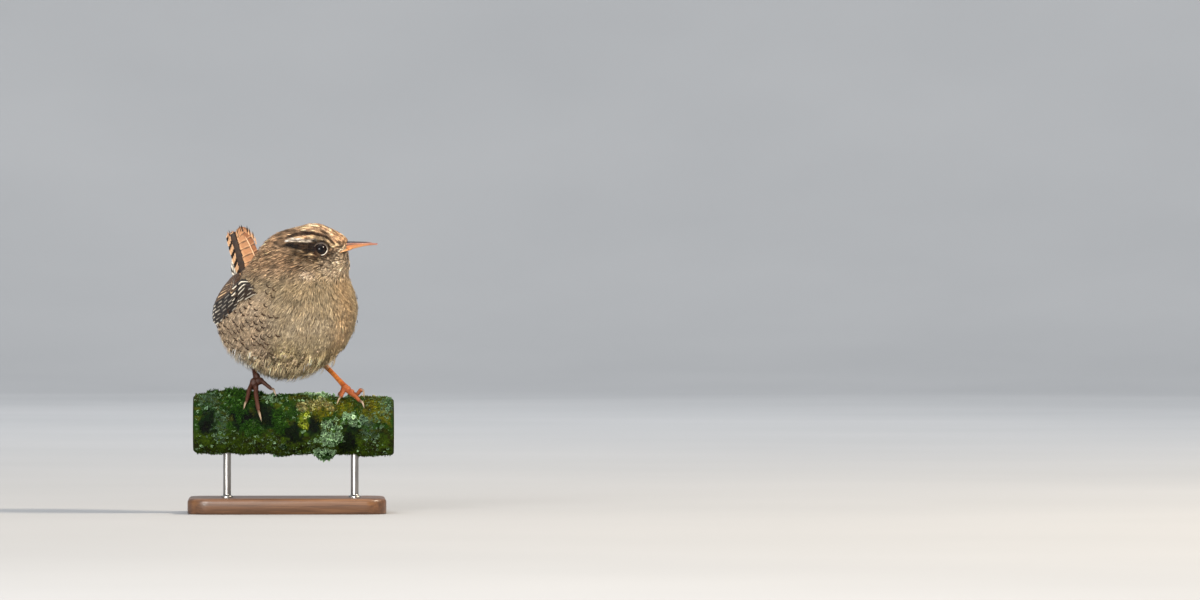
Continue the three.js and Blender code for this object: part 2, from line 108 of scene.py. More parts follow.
def curve(points, n):
    """n even steps along a smooth course through points, with its tangents"""
    p = np.asarray(points, float)
    fine = np.linspace(0, 1, 40 * (len(p) - 1) + 1)
    q = np.stack([spread(p[:, k], fine) for k in range(3)], -1)
    run = np.concatenate([[0], np.cumsum(np.linalg.norm(np.diff(q, axis=0), axis=1))])
    want = np.linspace(0, run[-1], n)
    q = np.stack([np.interp(want, run, q[:, k]) for k in range(3)], -1)
    t = unit(np.gradient(q, axis=0))
    return q, t, run[-1]


# ================================================================ frames and form
def axes(yaw, pitch=0.0):
    y, p = math.radians(yaw), math.radians(pitch)
    s, c, cp, sp = math.sin(y), math.cos(y), math.cos(p), math.sin(p)
    return np.array([[s * cp, -c * cp, sp], [c, s, 0.0], [-s * sp, c * sp, cp]])


BODY, HEAD = axes(38), axes(82)
BODY_O, HEAD_O = np.array([0, 1.0, 0]), np.array([9.4, -7.6, 0])
UP = np.array([0, 0, 1.0])


def on_body(f, l, w):
    return BODY_O + np.multiply.outer(f, BODY[0]) + np.multiply.outer(l, BODY[1]) + np.multiply.outer(w, UP)


def on_head(a, l, w):
    return HEAD_O + np.multiply.outer(a, HEAD[0]) + np.multiply.outer(l, HEAD[1]) + np.multiply.outer(w, UP)


MASSES = [
    ("body", (0.5, 31.95), (27.0, 21.95, 24.0), 10, 0),
    ("body", (8.7, 35.2), (17.55, 22.0, 19.65), 25, 9),
    ("body", (-9.47, 31.92), (19.28, 18.88, 10.9), 5, 7.8),
    ("body", (-19.6, 29.33), (11.66, 14.14, 14.71), -16.4, 7.9),
    ("body", (4.95, 43.76), (16.62, 15.26, 14.38), 17.6, 7.9),
    ("head", (-5.76, 49.98), (12.77, 11.78, 14.65), 24.9, 8.9),
    ("head", (0.8, 55.2), (7.4, 9.8, 11.1), -6, 7),
    ("head", (6.5, 59.5), (7.9, 6.0, 4.2), -4, 6),
    ("head", (4.75, 54.8), (5.8, 5.4, 4.6), 8, 5),
    ("head", (8.7, 51.0), (5.9, 5.2, 5.3), 0, 4.5),
]
MASS = []
for kind, (f0, w0), r0, pitch0, k0 in MASSES:
    MASS.append(((on_body if kind == "body" else on_head)(f0, 0.0, w0), np.array(r0), axes(38 if kind == "body" else 82, pitch0), k0))


def shape(P):
    """height over the plumage's outer surface, and the way out"""
    d = G = None
    for c, r, A, k in MASS:
        q = (P - c) @ A.T / r
        a = np.sqrt((q * q).sum(-1))
        q = q / r
        b = np.maximum(np.sqrt((q * q).sum(-1)), 1e-9)
        e = a * (a - 1) / b
        g = (q / b[..., None]) @ A
        if d is None:
            d, G = e, g
            continue
        h = np.maximum(k - np.abs(d - e), 0) / k
        share = np.where(d < e, h / 2, 1 - h / 2)[..., None]
        G = G * (1 - share) + g * share
        d = np.minimum(d, e) - h * h * k / 4
    return d, unit(G)


def surface_along(c, dirs):
    dirs = np.atleast_2d(dirs)
    c = np.broadcast_to(np.asarray(c, float), dirs.shape)
    lo, hi = np.zeros(len(dirs)), np.full(len(dirs), 70.0)
    found = np.zeros(len(dirs), bool)
    for t in np.arange(2, 70, 3.0):
        out = ~found & (shape(c + dirs * t)[0] > 0)
        hi[out], lo[out] = t, t - 3
        found |= out
        if found.all():
            break
    for _ in range(16):
        m = (lo + hi) / 2
        inside = shape(c + dirs * m[:, None])[0] < 0
        lo, hi = np.where(inside, m, lo), np.where(inside, hi, m)
    return c + dirs * ((lo + hi) / 2)[:, None]


CENTRE = np.array([2.0, -2.0, 40.0])
EYE_R = 2.7


def eye_of(side):
    s = surface_along(on_head(4.9, 0.0, 56.8), side * HEAD[1])[0]
    n = shape(s[None])[1][0]
    n = unit(0.35 * n + 0.65 * side * HEAD[1])
    return s - 1.95 * n, n


EYES = {s: eye_of(s) for s in (-1, 1)}


def head_of(P):
    q = (P - HEAD_O) @ HEAD.T
    return q[..., 0], q[..., 1], P[..., 2]


def body_of(P):
    q = (P - BODY_O) @ BODY.T
    return q[..., 0], q[..., 1], P[..., 2]


def headness(P):
    a, l, w = head_of(P)
    r = np.sqrt(((a - 1.6) / 15.2) ** 2 + (l / 14.2) ** 2 + ((w - 57.6) / 13.8) ** 2)
    return smooth(r, 1.25, 0.85)


def eye_gap(P):
    """distance from the nearer eye's axis, and how far out along it"""
    best = np.full(P.shape[:-1], 1e3)
    for c, n in EYES.values():
        q = P - c
        along = q @ n
        off = np.linalg.norm(q - along[..., None] * n, axis=-1)
        best = np.where(along > -1, np.minimum(best, off), best)
    return best


def coat_depth(P):
    """how deep the skin lies under the plumage's outer surface"""
    a, l, w = head_of(P)
    d = 2.5 - 1.45 * headness(P)
    bill = np.sqrt((a - 10.8) ** 2 + l ** 2 + (w - 58.2) ** 2)
    d = d * (0.38 + 0.62 * smooth(bill, 2.5, 8.5))
    return np.minimum(d, 0.42 + 0.7 * smooth(eye_gap(P), 2.4, 5.0) + 3 * (1 - headness(P)))


# ================================================================ meshes
def mesh_object(name, verts, faces, sizes, mat, tint=None, uv=None, vane=None, smooth_on=True, lift=True, extra=None):
    """faces: flat corner list; sizes: corners per face"""
    verts = np.asarray(verts, float)
    faces = np.asarray(faces, np.int32).ravel()
    sizes = np.asarray(sizes, np.int32).ravel()
    co = (verts + (0, 0, LIFT if lift else 0)) * MM
    me = bpy.data.meshes.new(name)
    me.vertices.add(len(co))
    me.vertices.foreach_set("co", co.astype(np.float32).ravel())
    me.loops.add(len(faces))
    me.loops.foreach_set("vertex_index", faces)
    me.polygons.add(len(sizes))
    me.polygons.foreach_set("loop_start", np.concatenate([[0], np.cumsum(sizes)[:-1]]).astype(np.int32))
    me.polygons.foreach_set("loop_total", sizes)
    me.update(calc_edges=True)
    me.polygons.foreach_set("use_smooth", np.full(len(sizes), smooth_on))
    if tint is not None:
        col = me.attributes.new("tint", "FLOAT_COLOR", "POINT")
        rgba = np.ones((len(co), 4), np.float32)
        rgba[:, :3] = np.clip(tint, 0.003, 1)
        col.data.foreach_set("color", rgba.ravel())
    for key, values in (extra or {}).items():
        at = me.attributes.new(key, "FLOAT", "POINT")
        at.data.foreach_set("value", np.asarray(values, np.float32))
    if uv is not None:
        layer = me.uv_layers.new(name="OFBake")
        uv = np.asarray(uv, np.float32)
        layer.data.foreach_set("uv", (uv[faces] if len(uv) == len(co) else uv).ravel())
    if vane is not None:
        layer = me.uv_layers.new(name="vane")
        layer.data.foreach_set("uv", np.asarray(vane, np.float32)[faces].ravel())
    me.validate()
    o = bpy.data.objects.new(name, me)
    bpy.context.scene.collection.objects.link(o)
    me.materials.append(mat)
    return o


def grid_faces(rows, cols, wrap=False, start=0):
    """quads of a rows x cols net of points; wrap closes it across"""
    r, c = np.meshgrid(np.arange(rows - 1), np.arange(cols if wrap else cols - 1), indexing="ij")
    n = (c + 1) % cols
    q = np.stack([r * cols + c, r * cols + n, (r + 1) * cols + n, (r + 1) * cols + c], -1).reshape(-1, 4)
    return q + start


def finished(o, *nodes, slot=None):
    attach(o, "root")
    if nodes:
        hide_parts(*nodes)
    return o


class Net:
    """gathers pieces of one mesh"""

    def __init__(self):
        self.v, self.f, self.n, self.c, self.u, self.x = [], [], [], [], [], []
        self.count = 0

    def add(self, v, faces, tint, uv=None, vane=None):
        v = np.asarray(v, float).reshape(-1, 3)
        for q in faces:
            q = np.asarray(q)
            self.f.append((q + self.count).ravel())
            self.n.append(np.full(len(q), q.shape[1]))
        self.v.append(v)
        self.c.append(np.broadcast_to(np.asarray(tint, float), v.shape).reshape(-1, 3))
        self.u.append(np.zeros((len(v), 2)) if uv is None else np.asarray(uv, float).reshape(-1, 2))
        self.x.append(np.zeros((len(v), 2)) if vane is None else np.asarray(vane, float).reshape(-1, 2))
        self.count += len(v)

    def make(self, name, mat, **more):
        return mesh_object(name, np.concatenate(self.v), np.concatenate(self.f), np.concatenate(self.n), mat,
                           tint=np.concatenate(self.c), uv=np.concatenate(self.u), vane=np.concatenate(self.x), **more)


# ================================================================ materials
def material(name):
    m = bpy.data.materials.new(name)
    m.use_nodes = True
    t = m.node_tree
    t.nodes.clear()
    out = t.nodes.new("ShaderNodeOutputMaterial")
    sh = t.nodes.new("ShaderNodeBsdfPrincipled")
    t.links.new(sh.outputs[0], out.inputs[0])
    return m, t, sh


def node(t, kind, **inputs):
    n = t.nodes.new(kind)
    for k, v in inputs.items():
        if hasattr(n, k):
            setattr(n, k, v)
        else:
            n.inputs[k.replace("_", " ")].default_value = v
    return n


def coords(t, kind="Object"):
    return t.nodes.new("ShaderNodeTexCoord").outputs[kind]


def noise_tex(t, scale, detail=4.0, rough=0.55, vec=None, stretch=None):
    n = node(t, "ShaderNodeTexNoise", Scale=scale, Detail=detail, Roughness=rough)
    v = vec if vec is not None else coords(t)
    if stretch:
        m = t.nodes.new("ShaderNodeMapping")
        m.inputs["Scale"].default_value = stretch
        t.links.new(v, m.inputs[0])
        v = m.outputs[0]
    t.links.new(v, n.inputs["Vector"])
    return n.outputs["Fac"]


def ramp(t, fac, stops):
    n = t.nodes.new("ShaderNodeValToRGB")
    e = n.color_ramp.elements
    while len(e) < len(stops):
        e.new(0.5)
    for el, (p, c) in zip(e, stops):
        el.position = p
        el.color = (*c, 1) if hasattr(c, "__len__") else (c, c, c, 1)
    t.links.new(fac, n.inputs[0])
    return n.outputs[0]


def blend(t, a, b, fac, mode="MIX"):
    n = t.nodes.new("ShaderNodeMix")
    n.data_type, n.blend_type = "RGBA", mode
    for sock, val in ((n.inputs[6], a), (n.inputs[7], b), (n.inputs[0], fac)):
        if hasattr(val, "links"):
            t.links.new(val, sock)
        elif hasattr(val, "__len__"):
            sock.default_value = (*val, 1) if len(val) == 3 else val
        else:
            sock.default_value = val
    return n.outputs[2]


def value_range(t, fac, lo, hi, a=0.0, b=1.0):
    n = t.nodes.new("ShaderNodeMapRange")
    for i, v in zip((1, 2, 3, 4), (a, b, lo, hi)):
        n.inputs[i].default_value = v
    t.links.new(fac, n.inputs[0])
    return n.outputs[0]


def bump(t, sh, height, distance, strength=1.0):
    n = node(t, "ShaderNodeBump", Strength=strength, Distance=distance)
    t.links.new(height, n.inputs["Height"])
    t.links.new(n.outputs[0], sh.inputs["Normal"])


def attribute(t, name="tint"):
    n = t.nodes.new("ShaderNodeAttribute")
    n.attribute_name = name
    return n


def feather_material(name, rough=0.72, sheen=0.25, contrast=0.16):
    """soft barbs: the tuft's own colour with finer light and dark along it"""
    m, t, sh = material(name)
    base = attribute(t).outputs["Color"]
    fine = noise_tex(t, 2600, 3, 0.6)
    c = blend(t, base, ramp(t, fine, [(0.28, (1 - contrast,) * 3), (0.72, (1 + contrast * 0.9,) * 3)]), 1.0, "MULTIPLY")
    broad = noise_tex(t, 240, 2, 0.5)
    c = blend(t, c, ramp(t, broad, [(0.3, (0.93, 0.94, 0.96)), (0.7, (1.06, 1.03, 0.98))]), 1.0, "MULTIPLY")
    t.links.new(c, sh.inputs["Base Color"])
    t.links.new(value_range(t, fine, rough - 0.08, rough + 0.12, 0.3, 0.7), sh.inputs["Roughness"])
    sh.inputs["Specular IOR Level"].default_value = 0.14
    sh.inputs["Sheen Weight"].default_value = sheen
    sh.inputs["Sheen Roughness"].default_value = 0.45
    sh.inputs["Sheen Tint"].default_value = (1.0, 0.93, 0.84, 1)
    bump(t, sh, noise_tex(t, 5200, 2, 0.5), 0.00004, 0.5)
    return m


def vane_material(name, rough=0.5):
    """flight feathers: the vane's colour and its barbs, slanted out from the shaft"""
    m, t, sh = material(name)
    base = attribute(t).outputs["Color"]
    uv = t.nodes.new("ShaderNodeUVMap")
    uv.uv_map = "vane"
    sep = t.nodes.new("ShaderNodeSeparateXYZ")
    t.links.new(uv.outputs[0], sep.inputs[0])
    side = node(t, "ShaderNodeMath", operation="ABSOLUTE")
    t.links.new(sep.outputs[1], side.inputs[0])
    lean = node(t, "ShaderNodeMath", operation="MULTIPLY_ADD")
    lean.inputs[1].default_value = -1.1
    t.links.new(side.outputs[0], lean.inputs[0])
    t.links.new(sep.outputs[0], lean.inputs[2])
    comb = t.nodes.new("ShaderNodeCombineXYZ")
    t.links.new(lean.outputs[0], comb.inputs[0])
    t.links.new(sep.outputs[1], comb.inputs[1])
    barbs = noise_tex(t, 1.0, 2, 0.6, comb.outputs[0], (4.2, 0.35, 1))
    c = blend(t, base, ramp(t, barbs, [(0.3, (0.78, 0.77, 0.76)), (0.7, (1.2, 1.19, 1.17))]), 1.0, "MULTIPLY")
    t.links.new(c, sh.inputs["Base Color"])
    t.links.new(value_range(t, barbs, rough - 0.06, rough + 0.14, 0.3, 0.7), sh.inputs["Roughness"])
    sh.inputs["Specular IOR Level"].default_value = 0.22
    sh.inputs["Sheen Weight"].default_value = 0.04
    bump(t, sh, barbs, 0.00012, 0.7)
    return m


def tinted_material(name, rough=0.5, spec=0.4, scale=900, depth=0.00008, coat=0.0, sss=0.0, contrast=0.15, rough_var=0.12):
    """solids whose colour is stored on the mesh, with grain and an uneven finish"""
    m, t, sh = material(name)
    base = attribute(t).outputs["Color"]
    n = noise_tex(t, scale, 5, 0.6)
    c = blend(t, base, ramp(t, n, [(0.3, (1 - contrast,) * 3), (0.7, (1 + contrast,) * 3)]), 1.0, "MULTIPLY")
    t.links.new(c, sh.inputs["Base Color"])
    t.links.new(value_range(t, n, rough - rough_var, rough + rough_var, 0.3, 0.7), sh.inputs["Roughness"])
    sh.inputs["Specular IOR Level"].default_value = spec
    sh.inputs["Coat Weight"].default_value = coat
    sh.inputs["Coat Roughness"].default_value = 0.12
    if sss:
        sh.inputs["Subsurface Weight"].default_value = sss
        sh.inputs["Subsurface Radius"].default_value = (1.0, 0.45, 0.22)
        sh.inputs["Subsurface Scale"].default_value = 0.0006
    bump(t, sh, noise_tex(t, scale * 2.2, 3, 0.6), depth, 0.8)
    return m


# ================================================================ plumage colours
C = {k: lin(v) for k, v in dict(
    crown="c09d7c", crown_dark="4b301c", lateral="29150b", brow="d0c2b1", brow_front="b09675",
    stripe="150a04", ring="e0d6c6", lore="624f3d", cheek="634f37", cheek_pale="a38d71", cheek_dark="412f20",
    malar="b9a68c", throat="a29079", nape="876d53", neck="917c65", cream="f0dbc4",
    breast="9e8c6f", breast_edge_lit="b5946c", belly="ab9a7f", yellow="cbb77f", flank="c4ad91",
    low="d0ba93", low_dark="5f523a", vent="dfd8c9", mantle="795c43", rump="805838", mark="372315",
).items()}


def stroke(a, w, pts, soft=0.45):
    """how much a point lies on a tapering line: pts are (a, w, half width)"""
    best = np.zeros(a.shape)
    for (a0, w0, h0), (a1, w1, h1) in zip(pts[:-1], pts[1:]):
        da, dw = a1 - a0, w1 - w0
        t = np.clip(((a - a0) * da + (w - w0) * dw) / (da * da + dw * dw), 0, 1)
        d = np.hypot(a - a0 - t * da, w - w0 - t * dw)
        h = h0 + (h1 - h0) * t
        best = np.maximum(best, 1 - smooth(d, h - soft * 0.5, h + soft))
    return best


def plumage(P):
    """the wren's colour at a place on its outer surface, with painted warm light on its left breast edge"""
    a, l, w = head_of(P)
    f, bl, z = body_of(P)
    s = np.abs(l)
    az = np.degrees(np.arctan2(-(f + 1), np.abs(bl)))
    n1, n2, n3 = noise(P, 2.3, 5), noise(P, 6.0, 9), noise(P, 1.1, 3)
    # under side, from breast down to vent
    c = mix(np.broadcast_to(C["belly"], P.shape), C["breast"], smooth(z, 24, 40))
    c = mix(c, C["yellow"], 0.6 * smooth(z, 25, 15) * (0.6 + 0.4 * n2))
    c = mix(c, C["flank"], smooth(az, -48, -22) * smooth(z, 44, 36))
    # painted warm light: the bird's left breast edge, on the lamp's side, is tinted orange
    c = mix(c, C["breast_edge_lit"], 0.8 * smooth(az, -52, -85) * smooth(bl, -4, 12) * smooth(z, 8, 18))
    c = mix(c, C["low"], smooth(z + 1.5 * n1, 17.5, 11) * 0.85)
    c = mix(c, C["low_dark"], smooth(n1 + 0.7 * n3, 0.15, 0.6) * smooth(z, 18, 12) * 0.5)
    c = mix(c, C["vent"], smooth(az, 22, 50) * smooth(z, 19, 13) * 0.75)
    # back
    back = smooth(az + 1.6 * (z - 40), 38, 66) * smooth(z, 24, 33)
    c = mix(c, C["mantle"], back)
    c = mix(c, C["rump"], smooth(az, 62, 84) * smooth(z, 33, 38) * smooth(z, 52, 44))
    c = mix(c, C["mantle"] * 1.15, smooth(az, 58, 80) * smooth(z, 36, 31) * smooth(z, 14, 22) * (0.6 + 0.3 * n1))
    # neck and head
    neck = smooth(z, 41, 48)
    side = smooth(a, 7.5, 1.5)
    c = mix(c, C["neck"], neck * side * (0.75 + 0.2 * n1))
    c = mix(c, C["nape"], smooth(z, 43, 52) * smooth(a, 1.5, -4.5))
    c = mix(c, C["throat"], smooth(z, 42, 48) * smooth(a, 3.5, 8.5))
    h = smooth(z, 49.5, 53)
    cheek = mix(np.broadcast_to(C["cheek"], P.shape), C["cheek_pale"], smooth(n3 + 0.5 * n1, 0.0, 0.5) * 0.6)
    cheek = mix(cheek, C["cheek_dark"], smooth(n3 - 0.4 * n1, -0.1, -0.55) * 0.65)
    c = mix(c, cheek, h * smooth(a, 9.8, 7.0) * smooth(s, 2.5, 5.0) * smooth(a, -9, -4))
    chin = smooth(z + 0.55 * (a - 6), 56.2, 53.2) * smooth(a, 3.5, 6.5)
    c = mix(c, C["malar"], chin * smooth(z, 46, 50) * 0.85)
    c = mix(c, C["cheek_dark"], chin * smooth(z, 49, 51.5) * smooth(n3, 0.05, 0.5) * smooth(s, 2.0, 4.0) * 0.7)
    # crown
    top = smooth(z - 0.1 * a, 60.2, 61.4)
    c = mix(c, C["crown"], top)
    streak = noise(np.stack([a * 0.35, l * 2.2, z * 0.8], -1), 1.1, 31)
    c = mix(c, C["crown_dark"], top * smooth(streak, 0.02, 0.35) * 0.75 * smooth(a, 13.0, 9.0))
    c = mix(c, C["nape"], smooth(a, -4.5, -9) * smooth(z, 50, 56) * 0.8)
    c = mix(c, C["crown_dark"], smooth(a, 2.0, -5.0) * smooth(z, 57, 61) * 0.38 * smooth(streak, -0.4, 0.3))
    brow_bone = smooth(a, 7.5, 10.0) * smooth(z, 57.6, 59.2)
    c = mix(c, C["crown"] * (0.92, 0.86, 0.80), brow_bone * 0.9)
    c = mix(c, C["crown_dark"], brow_bone * smooth(streak, 0.05, 0.4) * 0.5)
    # the face's lines
    out = smooth(s, 1.6, 3.2)
    c = mix(c, C["lateral"], out * 0.9 * stroke(a, w, [(-8.5, 61.2, 0.4), (-6.0, 62.0, 0.7), (-2.5, 62.9, 0.9), (1.6, 62.9, 0.6), (4.7, 62.3, 0.5), (7.5, 60.9, 0.5), (9.6, 58.8, 0.45)], 0.3))
    c = mix(c, C["brow"], out * 0.95 * stroke(a, w, [(-8.2, 60.0, 0.3), (-5.8, 60.4, 0.55), (-3.4, 60.3, 0.6), (0.0, 59.9, 0.5), (3.0, 60.3, 0.45)], 0.3))
    c = mix(c, C["brow_front"], out * 0.8 * stroke(a, w, [(0.4, 61.3, 0.35), (3.0, 61.5, 0.45), (5.6, 60.6, 0.6), (8.2, 58.9, 0.55), (10.5, 57.6, 0.4)], 0.35))
    c = mix(c, C["stripe"], out * 0.96 * stroke(a, w, [(3.4, 57.6, 1.3), (-0.6, 57.7, 1.5), (-4.2, 58.1, 1.25), (-7.6, 58.6, 0.7), (-9.6, 57.6, 0.3)]))
    c = mix(c, C["stripe"], out * 0.85 * stroke(a, w, [(4.9, 59.9, 0.45), (6.9, 59.2, 0.55), (8.1, 57.6, 0.6), (8.0, 55.9, 0.5)], 0.35))
    c = mix(c, C["lore"], out * 0.9 * stroke(a, w, [(6.9, 56.3, 0.7), (9.4, 56.9, 0.6), (12.5, 58.0, 0.4)], 0.35))
    c = mix(c, C["cheek_dark"], out * 0.85 * stroke(a, w, [(6.4, 53.9, 0.3), (8.6, 54.9, 0.35), (10.8, 56.3, 0.35)], 0.3))
    hair = noise(np.stack([(0.62 * a + 0.78 * w) * 0.30, (0.78 * a - 0.62 * w) * 1.5, l * 0.4], -1), 1.0, 83)
    c = mix(c, C["cheek_dark"] * 0.8, out * 0.75 * smooth(hair, 0.18, 0.5) * smooth(w, 57.5, 56.0) * smooth(w, 47.0, 49.5) * smooth(a, 8.5, 6.5) * smooth(a, -11, -7))
    specks = smooth(noise(P, 0.5, 77), 0.05, 0.4) * smooth(a, 0.0, 3.0) * smooth(z, 58.0, 55.5) * smooth(z, 46.5, 49.5)
    c = mix(c, C["lateral"], out * 0.72 * specks)
    e = eye_gap(P)
    ringed = smooth(e, 3.35, 2.95)
    c = mix(c, C["lateral"], ringed * 0.8)
    c = mix(c, C["stripe"], out * 0.95 * smooth(e, 4.9, 4.2) * smooth(a, 4.2, 2.6) * smooth(w, 55.0, 56.4))
    # pale feathers at the side of the throat
    cream = np.exp(-(((a - 0.6) / 2.2) ** 2 + ((w - 46.6) / 1.4) ** 2)) * out * smooth(noise(P, 0.8, 79), -0.5, 0.2)
    c = mix(c, C["cream"], np.clip(cream * 0.8, 0, 0.55))
    return c


def tone_depth(P):
    """how strongly light and dark streaks alternate"""
    a, l, w = head_of(P)
    f, bl, z = body_of(P)
    az = np.degrees(np.arctan2(-(f + 1), np.abs(bl)))
    t = 0.17 + 0.26 * smooth(z, 20, 11) + 0.15 * smooth(az, -55, -25) + 0.22 * smooth(z, 41, 48)
    # the last term is painted light: stronger streaks on the bird's left breast edge, where the light rakes across
    t = t + 0.24 * smooth(z, 49, 54) - 0.02 * smooth(z - 0.1 * a, 60.0, 61.6) + 0.16 * smooth(az, -66, -85) * smooth(bl, 0, 12)
    t = t - 0.16 * smooth(az, -55, -30) * smooth(z, 14, 20) * smooth(z, 44, 40)
    return t


def grain(P):
    """the place in a frame that runs with the lie of the feathers: along, across, through"""
    a, l, w = head_of(P)
    f, bl, z = body_of(P)
    t = smooth(w + 0.35 * np.clip(a, -8, 8), 43, 54)
    along = (-0.604 * f - 0.797 * z) * (1 - t) - a * t
    across = (0.797 * f - 0.604 * z) * (1 - t) + w * t
    return np.stack([along, across, bl * (1 - t) + l * t], -1)


def streaky(P, seed=41):
    g = grain(P)
    s = noise(g * (0.28, 1, 1), 0.52, seed) + 0.6 * noise(g * (0.4, 1, 1), 1.2, seed + 1) + 0.3 * noise(g * (0.5, 1, 1), 0.3, seed + 2)
    return np.clip(s / max(float(s.std()), 1e-6), -2.2, 2.2)


# ================================================================ skin
M_SKIN = feather_material("plumage_under", 0.85, 0.1, 0.22)
bm = bmesh.new()
bmesh.ops.create_icosphere(bm, subdivisions=7, radius=1.0)
dirs = np.array([v.co[:] for v in bm.verts])
tris = np.array([[v.index for v in f.verts] for f in bm.faces])
bm.free()
S = surface_along(CENTRE, unit(dirs))
_, N = shape(S)
skin = S - N * coat_depth(S)[:, None]
skin = skin + N * (0.06 * noise(S, 1.3, 2))[:, None]


def unwrap(d):
    """an eight-sided unwrap of directions from the middle of the bird to a square"""
    d = d / np.abs(d).sum(-1, keepdims=True)
    x, y, z = d[..., 0], d[..., 1], d[..., 2]
    fx = np.where(z >= 0, x, (1 - np.abs(y)) * np.where(x >= 0, 1, -1))
    fy = np.where(z >= 0, y, (1 - np.abs(x)) * np.where(y >= 0, 1, -1))
    return np.stack([fx, fy], -1) * 0.49 + 0.5


corner_dirs = dirs[tris]
middle = corner_dirs.mean(1, keepdims=True)
uv_corner = unwrap(corner_dirs * 0.985 + middle * 0.015).reshape(-1, 2)
# the skin under the barbs is the plumage's colour at 0.72: partly the feathers' darker downy bases, partly painted
# shade in the gaps between them
o = mesh_object("skin", skin, tris, np.full(len(tris), 3), M_SKIN, tint=plumage(S) * 0.72, uv=uv_corner)
finished(o, "head", "neck", "trunk", "thigh_right", "thigh_left", slot="plumage_body")


# ================================================================ lie of the feathers
def lie(P, n):
    a, l, w = head_of(P)
    body = -0.72 * BODY[0] - 0.95 * UP
    head = -1.0 * HEAD[0] + np.multiply.outer(np.clip((w - 57) * 0.05, -0.5, 0.35), UP) + np.multiply.outer(0.04 * l, HEAD[1])
    t = smooth(w + 0.35 * np.clip(a, -8, 8), 43, 54)[..., None]
    d = body * (1 - t) + head * t
    low = smooth(P[..., 2], 16, 9)[..., None]
    d = d * (1 - low) + (-0.35 * BODY[0] - 0.9 * UP) * low
    d = d - n * (d * n).sum(-1, keepdims=True)
    return unit(d)


# ---------------------------------------------------------------- wing and tail places that the coat leaves free
EDGE_AT = [-26, -16, -6, 2, 10, 20, 32, 44, 54, 76]        # the folded wing's visible lower edge: way round and height
EDGE_H = [40.0, 37.9, 36.6, 36.0, 34.6, 32.5, 30.6, 29.0, 28.0, 27.0]
WING_A0, WING_A1 = -26.0, 76.0
WING_LOW = [43.5, 38.6, 33.9, 30.4, 28.0, 25.0, 23.0, 23.8]
WING_TOP = [44.6, 46.8, 47.8, 47.8, 46.8, 44.6, 40.4, 33.0]


def flank_angle(P):
    f, l, z = body_of(P)
    return np.degrees(np.arctan2(-(f + 1), np.abs(l)))


def under_wing(P, inset=2.6):
    s = (flank_angle(P) - WING_A0) / (WING_A1 - WING_A0)
    z = P[..., 2]
    return (s > 0.06) & (s < 0.86) & (z > np.interp(flank_angle(P), EDGE_AT, EDGE_H) + 1.0) & (z < np.minimum(spread(WING_TOP, s) - 1.6, 44.0))


TAIL_L, TAIL_W = 32.5, 12.6
_tp = math.radians(79)
_tl, _ts = -BODY[0] * math.cos(_tp) + UP * math.sin(_tp), math.radians(8)
T_ALONG = _tl * math.cos(_ts) - BODY[1] * math.sin(_ts)
T_ACROSS = BODY[1] * math.cos(_ts) + _tl * math.sin(_ts)
T_TOP = UP * math.cos(_tp) + BODY[0] * math.sin(_tp)
T_BASE = on_body(-18.0, 0.9, 34.2)


def in_tail(P, grow=0.4):
    q = P - T_BASE
    s, x, t = q @ T_ALONG / TAIL_L, q @ T_ACROSS, q @ T_TOP
    half = TAIL_W / 2 * spread([0.45, 0.55, 0.66, 0.77, 0.88, 0.98, 1.0, 0.72], s) + grow
    return (s > -0.02) & (s < 1) & (np.abs(x) < half) & (np.abs(t) < 2.4 + grow)


# ---------------------------------------------------------------- places for the tufts
def scatter(n_try, spacing, seed):
    """roots on the outer surface no closer than the local spacing"""
    r = np.random.default_rng(seed)
    k = np.arange(n_try) + 0.5
    zc = 1 - 2 * k / n_try
    th = math.pi * (1 + 5 ** 0.5) * k
    rr = np.sqrt(1 - zc * zc)
    d = np.stack([rr * np.cos(th), rr * np.sin(th), zc], -1)
    d = unit(d + r.normal(0, 0.006, d.shape))
    P = surface_along(CENTRE, d)
    gap = spacing(P)
    order = r.permutation(n_try)
    order = order[gap[order] > 0]
    cell, keep = {}, []
    pts, gaps = P.tolist(), gap.tolist()
    for i in order.tolist():
        x, y, z = pts[i]
        g = gaps[i]
        cx, cy, cz = int(x // 1.3), int(y // 1.3), int(z // 1.3)
        ok = True
        for ix in (cx - 1, cx, cx + 1):
            for iy in (cy - 1, cy, cy + 1):
                for iz in (cz - 1, cz, cz + 1):
                    for qx, qy, qz in cell.get((ix, iy, iz), ()):
                        if (qx - x) ** 2 + (qy - y) ** 2 + (qz - z) ** 2 < g * g:
                            ok = False
                            break
                    if not ok:
                        break
                if not ok:
                    break
            if not ok:
                break
        if ok:
            cell.setdefault((cx, cy, cz), []).append((x, y, z))
            keep.append(i)
    return P[np.array(keep)]


def bill_gap(P):
    a, l, w = head_of(P)
    return np.sqrt((a - 10.8) ** 2 + l ** 2 + (w - 58.2) ** 2)


def bare(P):
    """no tufts: the eye's opening, the bill's root and the inside of wing and tail"""
    a, l, w = head_of(P)
    front = (a > 12.2) & (np.abs(l) < 1.9) & (w < 60.0) & (w > 55.5)
    return (eye_gap(P) < 2.75) | front | under_wing(P) | in_tail(P)


def body_spacing(P):
    g = np.full(len(P), 1.12)
    g[(headness(P) > 0.5) | bare(P)] = 0
    return g


def head_spacing(P):
    h = headness(P)
    g = np.where(h > 0.35, 0.78 - 0.1 * smooth(h, 0.5, 1.0), 0)
    g = np.where(h > 0.35, g - 0.27 * smooth(bill_gap(P), 9.0, 4.0) - 0.2 * smooth(eye_gap(P), 6.0, 3.2), 0)
    g = np.where(g > 0, np.maximum(g, 0.4), 0)
    g[bare(P)] = 0
    return g


